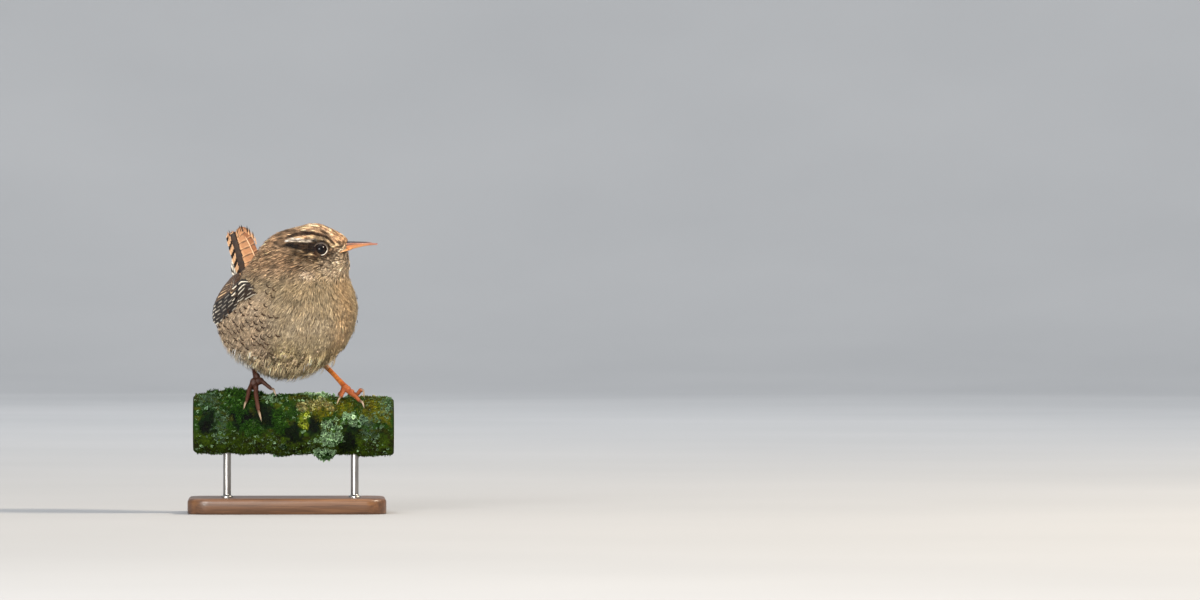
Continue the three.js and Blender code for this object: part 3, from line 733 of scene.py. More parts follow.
# ---------------------------------------------------------------- tufts
def tuft_paths(R, n, d, length, angle, strands, root_w, rise, ts, droop=0.25, curl=0.0, seed=1, cap=1.35):
    """courses of every barb: R, n, d per feather; returns points (F, S, T, 3) and their normals"""
    r = np.random.default_rng(seed)
    F = len(R)
    j = np.linspace(-1, 1, strands)[None, :] + r.normal(0, 0.09, (F, strands))
    phi = j * angle[:, None]
    b = np.cross(n, d)
    L = length[:, None] * (1 - 0.24 * np.clip(np.abs(j), 0, 1.1) ** 2) * (1 + r.normal(0, 0.09, (F, strands)))
    depth = coat_depth(R)
    bend = r.normal(0, 0.05, (F, strands)) + curl
    P = np.empty((F, strands, len(ts), 3))
    for k, t in enumerate(ts):
        x = root_w[:, None] * j + L * np.sin(phi) * t + L * bend * t * t
        y = L * np.cos(phi) * t
        P[:, :, k] = R[:, None] + d[:, None] * y[..., None] + b[:, None] * x[..., None]
    tt = np.asarray(ts)[None, None, :]
    lift = np.minimum(rise[:, None, None] * (0.06 + 0.94 * tt ** 0.75), cap)
    target = -depth[:, None, None] * (1 - lift) - droop * (j ** 2)[..., None] * tt * np.minimum(1, depth)[:, None, None]
    target = target + r.normal(0, 0.035, (F, strands, 1)) * tt
    flat, goal = P.reshape(-1, 3), target.reshape(-1)
    for _ in range(2):
        h, nn = shape(flat)
        flat = flat - nn * np.clip(h - goal, -3, 3)[:, None]
    return flat.reshape(P.shape), nn.reshape(P.shape), j, L


def tuft_mesh(P, nn, j, half, thick, widths, roll=0.35):
    """each barb a thin three-sided blade that ends in a point"""
    F, Sn, T, _ = P.shape
    tang = unit(np.gradient(P, axis=2))
    across = unit(np.cross(nn, tang))
    rho = (j * roll)[..., None, None]
    x = across * np.cos(rho) - nn * np.sin(rho)
    up = nn * np.cos(rho) + across * np.sin(rho)
    w = half[:, None, None, None] * np.asarray(widths)[None, None, :, None]
    th = thick * np.asarray(widths)[None, None, :, None]
    left, right, top = P - x * w, P + x * w, P + up * th
    rings = np.stack([left[:, :, :-1], top[:, :, :-1], right[:, :, :-1]], 3).reshape(F * Sn, (T - 1) * 3, 3)
    tip = P[:, :, -1].reshape(F * Sn, 1, 3)
    V = np.concatenate([rings, tip], 1)
    per = (T - 1) * 3 + 1
    q, tri = [], [[0, 1, 2]]
    for k in range(T - 2):
        for c in range(3):
            n = (c + 1) % 3
            q.append([3 * k + c, 3 * k + 3 + c, 3 * k + 3 + n, 3 * k + n])
    for c in range(3):
        tri.append([3 * (T - 2) + c, per - 1, 3 * (T - 2) + (c + 1) % 3])
    base = (np.arange(F * Sn) * per)[:, None, None]
    return V.reshape(-1, 3), [(base + np.array(q)[None]).reshape(-1, 4), (base + np.array(tri)[None]).reshape(-1, 3)], per


def tuft_uv(R, F, Sn, T, lo=None, hi=None):
    """each barb's patch of the unwrap, 0.003 across, at its root's place"""
    uv = unwrap(unit(R - CENTRE))
    lo = uv.min(0) if lo is None else lo
    hi = uv.max(0) if hi is None else hi
    uv = 0.03 + 0.94 * (uv - lo) / np.maximum(hi - lo, 1e-6)
    k = np.arange(Sn)
    off = np.stack([(k % 3 - 1) * 0.0068, (k // 3 - 1) * 0.0068], -1)
    uv = uv[:, None] + off[None]
    row = []
    for i in range(T - 1):
        v = 0.0028 * i / (T - 1)
        row += [(0.0, v), (0.0014, v), (0.0028, v)]
    row.append((0.0014, 0.0028))
    return (uv[:, :, None] + np.array(row)[None, None]).reshape(-1, 2)


def coat_piece(name, mat, R, n, d, length, angle, strands, root_w, rise, half, thick, ts, widths, shade, colour, slot, seed, droop=0.25, vary=0.15, curl=0.0, cap=1.35):
    P, nn, j, L = tuft_paths(R, n, d, length, angle, strands, root_w, rise, ts, droop, curl, seed, cap)
    V, faces, per = tuft_mesh(P, nn, j, half, thick, widths)
    F, Sn, T = P.shape[:3]
    tint = colour(P, j, seed)                                     # (F, S, T, 3)
    r = np.random.default_rng(seed + 5)
    tint = tint * np.exp(r.normal(0, vary, (F, Sn, 1, 1)))
    # painted shade: each barb darkens towards its root and brightens at its tip, partly the feather's grey downy base
    # and paler tip, partly shade between the feathers
    tint = tint * np.asarray(shade)[None, None, :, None]
    ring = np.repeat(tint[:, :, :-1], 3, axis=2)
    tint = np.concatenate([ring, tint[:, :, -1:]], 2).reshape(-1, 3)
    uv = tuft_uv(R, F, Sn, T)
    f = np.concatenate([q.ravel() for q in faces])
    n_f = np.concatenate([np.full(len(q), q.shape[1]) for q in faces])
    o = mesh_object(name, V, f, n_f, mat, tint=tint, uv=uv)
    return finished(o, slot=slot)


M_COAT_BODY = feather_material("plumage_body_barbs", 0.78, 0.07, 0.14)
M_COAT_HEAD = feather_material("plumage_head_barbs", 0.76, 0.05, 0.14)


def body_colour(P, j, seed):
    """belly, flank and back: pale loose tips, darker bars and flecks on some feathers"""
    r = np.random.default_rng(seed + 9)
    F, Sn, T, _ = P.shape
    at = P[:, Sn // 2, max(T - 2, 1)]
    own = plumage(P[:, :, T - 2].reshape(-1, 3)).reshape(F, Sn, 1, 3)
    c = np.repeat(0.6 * own + 0.4 * plumage(at)[:, None, None], T, 2)
    c = c * np.exp(streaky(P[:, :, T - 2]) * tone_depth(P[:, :, T - 2]))[:, :, None, None]
    f, l, z = body_of(at)
    az = flank_angle(at)
    flank = smooth(az, -58, -30) * smooth(az, 75, 50) * smooth(z, 44, 38)
    low = smooth(z, 21, 13)
    backish = smooth(az + 1.6 * (z - 40), 38, 66) * smooth(z, 24, 33)
    amp = 0.10 - 0.02 * flank + 0.20 * low + 0.10 * backish
    c = c * np.exp(r.normal(0, 1, F) * amp)[:, None, None, None]
    # a dark subterminal fleck on some low belly and flank feathers
    fleck = (r.random(F) < 0.02 + 0.05 * flank + 0.34 * low) * 1.0
    ring = np.zeros(T)
    ring[T - 2] = 1
    m = fleck[:, None, None] * ring[None, None] * (1 - 0.6 * np.clip(np.abs(j), 0, 1))[..., None] * 0.7
    c = c * (1 - m[..., None]) + C["mark"] * m[..., None]
    # fine bars on rump and mantle
    m = (backish * 0.55)[:, None, None] * ring[None, None] * (r.random(F) < 0.45)[:, None, None]
    c = c * (1 - m[..., None]) + C["mark"] * m[..., None]
    return c


def head_colour(P, j, seed):
    r = np.random.default_rng(seed + 9)
    F, Sn, T, _ = P.shape
    own = plumage(P[:, :, T - 2].reshape(-1, 3)).reshape(F, Sn, 1, 3)
    c = np.repeat(own, T, 2)
    c = c * np.exp(streaky(P[:, :, T - 2], 51) * tone_depth(P[:, :, T - 2]))[:, :, None, None]
    return c * np.exp(r.normal(0, 0.12, F))[:, None, None, None]


def sector(P):
    """splits the body's feathers into pieces: by the way round and by height"""
    f, l, z = body_of(P)
    az = np.degrees(np.arctan2(l, f + 1))          # 0 front, 90 left, -90 right
    k = ((az + 180 + 22.5) // 60).astype(int) % 6
    return k * 2 + (z > 33)


roots = scatter(60000, body_spacing, 3)
hskin, nskin = shape(roots)
rootn = nskin
dirn = lie(roots, rootn)
R0 = roots - rootn * (coat_depth(roots) * 0.97)[:, None]
wob = 0.22 * noise(roots, 4.0, 8) + rng.normal(0, 0.10, len(roots))
side_b = np.cross(rootn, dirn)
dirn = unit(dirn * np.cos(wob)[:, None] + side_b * np.sin(wob)[:, None])
z = roots[:, 2]
az = flank_angle(roots)
length = 5.4 + 1.4 * smooth(z, 40, 22) - 0.6 * smooth(z, 18, 10) - 1.0 * smooth(z, 44, 50)
length = length * (1 + rng.normal(0, 0.08, len(roots)))
ragged = smooth(z, 19, 10)
rise = 0.93 + rng.normal(0, 0.09, len(roots)) + ragged * np.abs(rng.normal(0, 0.26, len(roots)))
angle = np.radians(15 + 4 * rng.random(len(roots)))
part = sector(roots)
# starts each feather up-lie of its place, so that its tip shows where its colour belongs
R0s = R0 - dirn * (length * 0.35)[:, None]
h, nn0 = shape(R0s)
R0s = R0s - nn0 * (h + coat_depth(R0s) * 0.97)[:, None]
n0 = nn0
d0 = unit(dirn - n0 * (dirn * n0).sum(-1, keepdims=True))
NAMES = ["back_a", "back_b", "flank_right_low", "flank_right_high", "breast_right_low", "breast_right_high", "breast_low", "breast_high",
         "flank_left_low", "flank_left_high", "back_left_low", "back_left_high"]
count = {}
for k in range(12):
    m = part == k
    if not m.any():
        continue
    coat_piece("coat_" + NAMES[k], M_COAT_BODY, R0s[m], n0[m], d0[m], length[m], angle[m], 9, np.full(m.sum(), 0.28), rise[m],
               np.full(m.sum(), 0.165), 0.085, (0.0, 0.42, 0.78, 1.0), (0.55, 1.0, 0.82, 0.0), (0.34, 0.72, 1.06, 1.22),
               body_colour, "plumage_body", 100 + k, vary=0.17, cap=1.7)
    count[NAMES[k]] = int(m.sum())

roots = scatter(80000, head_spacing, 4)
hskin, rootn = shape(roots)
dirn = lie(roots, rootn)
wob = 0.25 * noise(roots, 2.6, 18) + rng.normal(0, 0.12, len(roots))
side_b = np.cross(rootn, dirn)
dirn = unit(dirn * np.cos(wob)[:, None] + side_b * np.sin(wob)[:, None])
bg, eg = bill_gap(roots), eye_gap(roots)
length = 2.9 - 1.5 * smooth(bg, 9, 3) - 0.9 * smooth(eg, 6, 3) + 1.2 * smooth(headness(roots), 0.9, 0.4)
length = np.maximum(length, 0.95) * (1 + rng.normal(0, 0.08, len(roots)))
R0s = roots - dirn * (length * 0.35)[:, None]
h, n0 = shape(R0s)
R0s = R0s - n0 * (h + coat_depth(R0s) * 0.97)[:, None]
d0 = unit(dirn - n0 * (dirn * n0).sum(-1, keepdims=True))
rise = 0.95 + rng.normal(0, 0.08, len(roots))
half = 0.075 + 0.045 * smooth(length, 1.2, 3.2)
clear = eye_gap(R0s) > 2.6
_, l, _ = head_of(roots)
for k, (name, m) in enumerate((("coat_head_right", (l < 0) & clear), ("coat_head_left", (l >= 0) & clear))):
    coat_piece(name, M_COAT_HEAD, R0s[m], n0[m], d0[m], length[m], np.full(m.sum(), math.radians(17)), 6, half[m] * 1.6, rise[m],
               half[m], 0.05, (0.0, 0.55, 1.0), (0.6, 1.0, 0.0), (0.42, 1.0, 1.2), head_colour, "plumage_head", 200 + k, droop=0.12, vary=0.16)
    count[name] = int(m.sum())


# ---------------------------------------------------------------- flecks lying on the coat, and loose wisps
def fleck_piece(name, R, d, length, strands, pitch, half, colour, height, seed, slot="plumage_body", mat=None):
    """a few short barbs side by side on top of the coat, which make one bar or fleck"""
    r = np.random.default_rng(seed)
    F = len(R)
    h, n = shape(R)
    d = unit(d - n * (d * n).sum(-1, keepdims=True))
    b = np.cross(n, d)
    j = np.linspace(-1, 1, strands)[None] + np.zeros((F, 1))
    side = j * (strands - 1) / 2 * pitch + r.normal(0, 0.05, j.shape)
    ts = np.array([0.0, 0.5, 1.0])
    L = length[:, None] * (1 - 0.3 * np.abs(j) ** 2) * (1 + r.normal(0, 0.15, j.shape))
    along = (ts[None, None] - 0.5) * L[..., None] - 0.22 * (np.abs(j) ** 2 * pitch * strands)[..., None] + r.normal(0, 0.06, j.shape)[..., None]
    P = R[:, None, None] + b[:, None, None] * side[:, :, None, None] + d[:, None, None] * along[..., None]
    flat = P.reshape(-1, 3)
    goal = (height[:, None, None] + np.array([-0.10, 0.04, 0.10])[None, None] + 0 * L[..., None]).ravel()
    for _ in range(2):
        hh, nn = shape(flat)
        flat = flat - nn * (hh - goal)[:, None]
    V, faces, per = tuft_mesh(flat.reshape(P.shape), nn.reshape(P.shape), j, np.full(F, half), 0.05, (0.55, 1.0, 0.0))
    c = colour[:, None, None] * np.exp(r.normal(0, 0.18, (F, strands, 1, 1))) * np.array([0.9, 1.0, 1.15])[None, None, :, None]
    c = np.concatenate([np.repeat(c[:, :, :-1], 3, axis=2), c[:, :, -1:]], 2).reshape(-1, 3)
    uv = tuft_uv(R, F, strands, 3)
    o = mesh_object(name, V, np.concatenate([q.ravel() for q in faces]), np.concatenate([np.full(len(q), q.shape[1]) for q in faces]), mat or M_COAT_BODY, tint=c, uv=uv)
    return finished(o, slot=slot)


def places(n_try, gap, seed, chance):
    P = scatter(n_try, lambda q: np.where((headness(q) > 0.5) | bare(q) | under_wing(q, 2.0), 0.0, gap), seed)
    return P[np.random.default_rng(seed + 1).random(len(P)) < chance(P)]


def flank_chance(P):
    f, l, z = body_of(P)
    az = flank_angle(P)
    return smooth(az, -50, -34) * smooth(az, 74, 50) * smooth(z, 44, 39) * smooth(z, 15, 21) * 0.66


P = places(26000, 2.75, 401, flank_chance)
d = lie(P, shape(P)[1])
r = np.random.default_rng(402)
d = unit(d + 0.18 * r.normal(0, 1, d.shape))
fleck_piece("flank_bars", P, d, 0.58 + 0.28 * r.random(len(P)), 9, 0.27, 0.165, np.outer(0.75 + 0.7 * r.random(len(P)), C["mark"]), 0.24 + 0.05 * r.random(len(P)), 403)
count["flank_bars"] = len(P)

P = places(36000, 1.25, 411, lambda q: smooth(q[:, 2] + 1.5 * noise(q, 3.0, 44), 21, 13) * 0.62)
d = lie(P, shape(P)[1])
r = np.random.default_rng(412)
d = unit(d + 0.45 * r.normal(0, 1, d.shape))
tone = np.where((r.random(len(P)) < 0.55)[:, None], C["low_dark"] * 0.75, C["flank"] * 1.15) * (0.75 + 0.5 * r.random((len(P), 1)))
fleck_piece("belly_flecks", P, d, 0.75 + 0.4 * r.random(len(P)), 4, 0.25, 0.14, tone, 0.20 + 0.08 * r.random(len(P)), 413)
count["belly_flecks"] = len(P)

# pale and dark flecks among the feathers of breast, neck and back
P = places(36000, 1.7, 421, lambda q: 0.10 + 0.30 * smooth(q[:, 2], 40, 46) + 0.25 * smooth(flank_angle(q), -62, -85) * smooth(body_of(q)[1], 0, 12) + 0.2 * smooth(flank_angle(q), 35, 60))
d = lie(P, shape(P)[1])
r = np.random.default_rng(422)
own = plumage(P)
tone = np.where((r.random(len(P)) < 0.6)[:, None], own * 0.42, np.clip(own * 1.35 + 0.02, 0, 0.85))
fleck_piece("body_flecks", P, d, 1.25 + 0.6 * r.random(len(P)), 3, 0.20, 0.12, tone, 0.16 + 0.06 * r.random(len(P)), 423)
count["body_flecks"] = len(P)

# loose wisps under the belly and behind the legs
roots = scatter(26000, lambda q: np.where(under_wing(q) | in_tail(q) | (headness(q) > 0.4), 0.0, 1.9), 431)
f, l, z = body_of(roots)
az = flank_angle(roots)
r = np.random.default_rng(432)
want = np.clip(smooth(z, 20, 12) + 0.75 * smooth(az, 8, 35) * smooth(z, 28, 22) + 0.35 * smooth(az, -66, -85) * smooth(z, 30, 22) * smooth(l, 5, 14), 0, 1)
roots = roots[r.random(len(roots)) < want * 0.9]
n = shape(roots)[1]
d = lie(roots, n)
R0 = roots - d * 2.2
h, nn0 = shape(R0)
R0 = R0 - nn0 * (h + coat_depth(R0) * 0.9)[:, None]
d = unit(d - nn0 * (d * nn0).sum(-1, keepdims=True))
ln = 6.0 + 2.2 * r.random(len(roots))
coat_piece("loose_wisps", M_COAT_BODY, R0, nn0, d, ln, np.radians(7 + 6 * r.random(len(roots))), 5, np.full(len(roots), 0.2), 1.35 + 0.95 * r.random(len(roots)) * smooth(roots[:, 2], 26, 14),
           np.full(len(roots), 0.12), 0.07, (0.0, 0.35, 0.7, 1.0), (0.7, 1.0, 0.7, 0.0), (0.5, 0.85, 1.1, 1.25), body_colour, "plumage_body", 433, vary=0.25, cap=2.1)
count["wisps"] = len(roots)
print("feathers", count, sum(count.values()))


# ================================================================ vanes: flight feathers, coverts, tail
def vane(net, path, nrm, w_out, w_in, colour, cell, thick=0.13, camber=0.10, cols=9, shaft=0.07, flip=1.0, edge=0.05, seed=0):
    """one feather as a thin closed leaf: w_out and w_in are its webs' widths along it, cell is its place on the
    bake map (corner and size), and colour(s, x, v) gives its colours by mm along, mm across and share across"""
    K = len(path)
    tang = unit(np.gradient(path, axis=0))
    across = unit(np.cross(nrm, tang)) * flip
    run = np.concatenate([[0], np.cumsum(np.linalg.norm(np.diff(path, axis=0), axis=1))])
    v = np.linspace(-1, 1, cols)
    r = np.random.default_rng(seed)
    wave = 1 - edge * np.abs(noise(np.stack([run * 1.0, np.full(K, seed * 3.1), np.zeros(K)], -1), 0.7, seed))
    half = np.where(v[None] < 0, (w_out * wave)[:, None], (w_in * wave)[:, None])
    x = v[None] * half
    rag = 0.12 * r.normal(0, 1, (K, cols)) * (np.abs(v)[None] > 0.9) * edge * 4
    x = x + rag
    drop = camber * (v ** 2)[None] * half
    mid = path[:, None] + across[:, None] * x[..., None] - nrm[:, None] * drop[..., None]
    th = thick * (0.3 + 0.7 * (1 - np.abs(v)[None])) * np.ones((K, 1))
    ridge = shaft * (np.abs(v)[None] < 0.06) * (1 - 0.75 * (run / run[-1]))[:, None]
    top = mid + nrm[:, None] * (th / 2 + ridge)[..., None]
    low = mid - nrm[:, None] * (th / 2)[..., None]
    V = np.concatenate([top.reshape(-1, 3), low.reshape(-1, 3)])
    a = grid_faces(K, cols)
    b = a[:, ::-1] + K * cols
    n = K * cols
    i = np.arange(K - 1)
    left = np.stack([i * cols, (i + 1) * cols, (i + 1) * cols + n, i * cols + n], -1)
    e = cols - 1
    right = np.stack([i * cols + e + n, (i + 1) * cols + e + n, (i + 1) * cols + e, i * cols + e], -1)
    j = np.arange(cols - 1)
    root = np.stack([j + 1, j, j + n, j + 1 + n], -1)
    k = (K - 1) * cols
    tip = np.stack([k + j, k + j + 1, k + j + 1 + n, k + j + n], -1)
    faces = np.concatenate([a, b, left, right, root, tip])
    if flip < 0:
        faces = faces[:, ::-1]
    faces = faces[:, ::-1]
    s = np.broadcast_to(run[:, None], x.shape)
    c = colour(s, x, np.broadcast_to(v[None], x.shape), run[-1])
    c = np.concatenate([c.reshape(-1, 3), c.reshape(-1, 3) * 0.8])
    u0, v0, du, dv = cell
    uv = np.stack([u0 + du * (0.06 + 0.88 * s / run[-1]), v0 + dv * (0.5 + 0.44 * v[None] * np.ones((K, 1)))], -1).reshape(-1, 2)
    mm = np.stack([s, x + 0.013 * seed], -1).reshape(-1, 2)
    net.add(V, [faces], c, np.concatenate([uv, uv]), np.concatenate([mm, mm]))


def leaf(K, root=0.35, round_tip=0.18, power=0.5):
    """share of a feather's full width kept along it"""
    s = np.linspace(0, 1, K)
    grow = root + (1 - root) * smooth(s, 0, 0.4)
    end = np.clip((1 - s) / round_tip, 0, 1)
    return grow * np.maximum(np.sqrt(np.clip(1 - (1 - end) ** 2, 0, 1)) ** (power * 2), 0.03)


def cells(n, cols):
    rows = -(-n // cols)
    return [((k % cols) / cols, (k // cols) / rows, 1 / cols, 1 / rows) for k in range(n)]


W = {k: lin(v) for k, v in dict(
    dark="17100b", brown="5e432d", rufous="794f2b", pale="e4dac6", buff="c0a27c", mid="3f2b1c", shaft="39271a",
    tail="86522f", tail_low="71462a", bar="2b170b", tail_pale="cea47c", shaft_pale_and_highlight="d9b896", tip="19100b",
).items()}

# the flight feathers' courses in degrees round the body and mm of height, from the lowest primary to the innermost tertial
ROW_A = ([-3, -2.2, 0.6, 4.5, 8.7, 13.5, 16.5, 18.6, 20.6, 22.5, 25, 28, 32, 36, 40],
         [20, 20.3, 23.2, 27.3, 32, 36, 40, 43.5, 46.5, 49, 51, 53, 55, 56.5, 58],
         [52, 57.5, 60, 61.5, 62.5, 63, 63, 63, 63, 62.5, 62, 61.5, 61, 60.5, 60])
ROW_H = ([36.4, 37.5, 38.5, 39.7, 40.7, 41.6, 42.4, 43.2, 43.9, 44.5, 45.0, 45.3, 45.5, 45.6, 45.6],
         [32.3, 33.4, 34.5, 35.6, 36.6, 37.6, 38.6, 39.5, 40.4, 41.3, 42.1, 42.8, 43.4, 43.9, 44.2],
         [27.9, 28.8, 29.7, 30.8, 32, 33.2, 34.5, 35.9, 37.3, 38.7, 40, 41.1, 42, 42.7, 43.2])
# the primary coverts and bastard wing, which run down across the wing's front
FRONT_A = ([-25.4, -23.2, -19.2, -16.1, -11.2, -6.1], [-19.7, -15.5, -10.6, -5.1, -1.4, 3.2], [-13.0, -5.0, 1.2, 8.5, 11.6, 14.6])
FRONT_H = ([39.8, 40.6, 42.0, 42.9, 43.7, 44.5], [38.7, 38.8, 39.1, 40.0, 41.2, 42.9], [37.4, 36.7, 35.7, 36.6, 38.3, 40.8])


def wing_course(side, angles, heights, t, up, off):
    """places along a course over the folded wing, up mm above it and off mm out of the plumage"""
    a, h = spread(angles, t), spread(heights, t) + up
    ar = np.radians(a)
    dirs = -np.sin(ar)[:, None] * BODY[0] + side * np.cos(ar)[:, None] * BODY[1]
    P = surface_along(on_body(np.full(len(t), -1.0), 0.0, h), dirs)
    n = shape(P)[1]
    lift = 1.0 * smooth(a, 34, 58)
    return P + n * (off + lift)[:, None], n


def row(tables, k):
    return [float(np.interp(k, range(len(v)), v)) for v in tables]


def flight_colour(base, pale, dark, period, duty, contrast, phase, edge_rufous=0.0, tip_pale=0.0, lean=0.25):
    def f(s, x, v, total):
        outer = smooth(v, 0.05, -0.25)
        q = (total - s - lean * v * period) / period + phase + 0.13 * np.sin(s * 1.7 + phase * 9) + 0.08 * np.sin(s * 0.7 + phase * 23)
        wave = 0.5 + 0.5 * np.cos(2 * np.pi * q)
        light = smooth(wave, 1 - duty - 0.12, 1 - duty + 0.12)
        body = np.broadcast_to(base, (*s.shape, 3))
        body = mix(body, W["rufous"], edge_rufous * smooth(-v, 0.2, 0.9))
        light = light * (0.55 + 0.45 * smooth(v, -0.99, -0.86))
        barred = mix(mix(body, dark, contrast * (1 - light)), pale, contrast * light)
        inner = mix(body * 0.62, dark, 0.35 * (1 - light))
        c = mix(inner, barred, outer)
        c = mix(c, W["shaft"], smooth(np.abs(v), 0.09, 0.03) * 0.9)
        c = mix(c, pale, tip_pale * smooth(total - s, 1.2, 0.5) * smooth(np.abs(v), 0.75, 0.4))
        return c
    return f


def margin_colour(base, edge, dark, share, period, pale_part, phase, low=1.0, bars=0.0, tip=0.0, slant=0.8):
    """a dark feather whose outer margin is pale, broken into dashes"""
    def f(s, x, v, total):
        u = s / total
        wave = 0.5 + 0.5 * np.cos(2 * np.pi * (s / period + phase) + slant * v + 0.5 * np.sin(s * 0.9 + phase * 11))
        light = smooth(wave, 1 - pale_part - 0.07, 1 - pale_part + 0.07) if pale_part < 1 else np.ones_like(wave)
        rim = smooth(-v, 1 - share - 0.07, 1 - share + 0.07) * smooth(-v, 1.06, 0.97)
        strength = low + (1 - low) * smooth(u, 0.60, 0.80)
        c = np.broadcast_to(base, (*s.shape, 3))
        across = smooth(0.5 + 0.5 * np.cos(2 * np.pi * (s / 1.9 + phase * 3 + 0.25 * v)), 0.35, 0.65)
        c = mix(c, dark, bars * across)
        c = mix(c, edge, rim * light * strength)
        c = mix(c, W["shaft"], smooth(np.abs(v), 0.09, 0.03) * 0.8)
        return mix(c, edge, tip * smooth(total - s, 1.0, 0.4) * smooth(np.abs(v + 0.25), 0.7, 0.4))
    return f


M_WING = vane_material("wing_vanes", 0.52)
M_TAIL = vane_material("tail_vanes", 0.46)


def build_wing(side, name, node_name):
    net = Net()
    r = np.random.default_rng(11 if side < 0 else 12)
    flip = -1.0 if side < 0 else 1.0
    specs = []
    black, brown = W["dark"] * 0.75, W["brown"]
    for k in range(6):      # primaries
        specs.append(dict(a=row(ROW_A, k), h=row(ROW_H, k), t0=-0.0, t1=1.0 + 0.02 * r.normal(), up=0.55, out=1.30, inn=2.2, off=-0.10 + 0.12 * k, K=84, cols=15,
                          col=margin_colour(black, W["pale"], black, (0.40, 0.34, 0.46, 0.44, 0.42, 0.4)[k], 5.6 + 0.3 * r.normal(), 0.66, 0.37 * k + 0.1 * r.normal(), 0.34)))
    for k in range(6, 12):  # secondaries
        specs.append(dict(a=row(ROW_A, k), h=row(ROW_H, k), t0=-0.04, t1=0.97 - 0.01 * k + 0.02 * r.normal(), up=0.5, out=1.45, inn=2.2, off=0.46 + 0.05 * (k - 6), K=74, cols=15,
                          col=margin_colour(mix(W["mid"], brown, 0.55), np.minimum(W["buff"] * 1.5, 0.9), W["dark"], 0.40, 9.5, 0.88, 0.23 * k, 0.85, 0.55)))
    for k in range(12, 15):  # tertials
        specs.append(dict(a=row(ROW_A, k), h=row(ROW_H, k), t0=-0.04, t1=0.80 - 0.05 * (k - 12), up=0.4, out=1.6, inn=2.2, off=0.72 + 0.06 * (k - 12), K=52, cols=15,
                          col=margin_colour(brown * 1.15, np.minimum(W["buff"] * 1.35, 0.9), W["dark"], 0.32, 9.0, 0.88, 0.31 * k, 0.85, 0.75)))
    for k in range(7):      # greater coverts
        q = 3.0 + 1.15 * k
        specs.append(dict(a=row(ROW_A, q), h=row(ROW_H, q), t0=-0.05, t1=0.30 + 0.03 * r.normal() - 0.008 * k, up=1.0, out=1.35, inn=1.5, off=0.86 + 0.03 * k, K=34, cols=13,
                          col=margin_colour(mix(W["mid"], brown, 0.5), W["buff"], W["dark"], 0.36, 3.6, 0.62, 0.41 * k, 0.8, 0.6, 0.5)))
    for k in range(6):      # median coverts
        q = 2.2 + 1.1 * k
        specs.append(dict(a=row(ROW_A, q), h=row(ROW_H, q), t0=-0.05, t1=0.09 + 0.02 * r.normal(), up=0.6, out=1.1, inn=1.1, off=0.98 + 0.03 * k, K=26, cols=11,
                          col=margin_colour(mix(W["mid"], brown, 0.6), W["pale"] * 0.75, W["dark"], 0.36, 2.9, 0.42, 0.29 * k, 0.9, 0.6, 0.45)))
    for k in range(6):      # primary coverts and bastard wing
        specs.append(dict(a=row(FRONT_A, k), h=row(FRONT_H, k), t0=-0.05, t1=1.0, up=0.42, out=0.92, inn=1.0, off=0.78 + 0.11 * k, K=52, cols=15,
                          col=margin_colour(mix(black * 1.3, W["mid"], 0.25 if k < 4 else 0.0), W["pale"] * (0.42, 0.5, 0.6, 0.62, 0.95, 1.0)[k], black, (0.5, 0.44, 0.44, 0.46, 0.55, 0.6)[k], 9.0 - 0.6 * k, 0.86, 0.55 + 0.21 * k, 0.9)))
    place = cells(len(specs), 6)
    for k, sp in enumerate(specs):
        K = sp["K"]
        t = np.linspace(sp["t0"], sp["t1"], K)
        along = np.linspace(0, 1, K)
        up = sp["up"] + 0.06 * r.normal() + 0.10 * np.sin(3 * along + r.random() * 6)
        root = smooth(along, 0.30, 0.0) if K > 30 else smooth(along, 0.5, 0.0)
        a, h = sp["a"], sp["h"]
        head = np.minimum(t, 0)
        P, n = wing_course(side, a, h, np.clip(t, 0, 1.0), up, sp["off"] - 1.9 * root + 0.10 * along ** 2)
        # before the course's start it runs on straight, tucked under the plumage
        back = unit(P[np.argmax(t > 0)] - P[min(np.argmax(t > 0) + 4, K - 1)])
        P = P - back * 0 + np.multiply.outer(-head * 24.0, back)
        w = leaf(K, 0.5, 0.14 if K > 40 else 0.3)
        vane(net, P, n, sp["out"] * w, sp["inn"] * w, sp["col"], place[k], thick=0.16, camber=0.22, cols=sp["cols"],
             flip=flip, edge=0.08, seed=k + (0 if side < 0 else 50), shaft=0.06)
    o = net.make(name, M_WING)
    return finished(o, node_name, slot="plumage_wing")


build_wing(-1, "wing_feathers_right", "wing_right")
build_wing(1, "wing_feathers_left", "wing_left")


# ---------------------------------------------------------------- tail
def tail_point(s, x, t):
    """s along the tail, x mm across (the bird's left), t mm out of its upper side"""
    return T_BASE + np.multiply.outer(s * TAIL_L, T_ALONG) + np.multiply.outer(x, T_ACROSS) + np.multiply.outer(t, T_TOP)


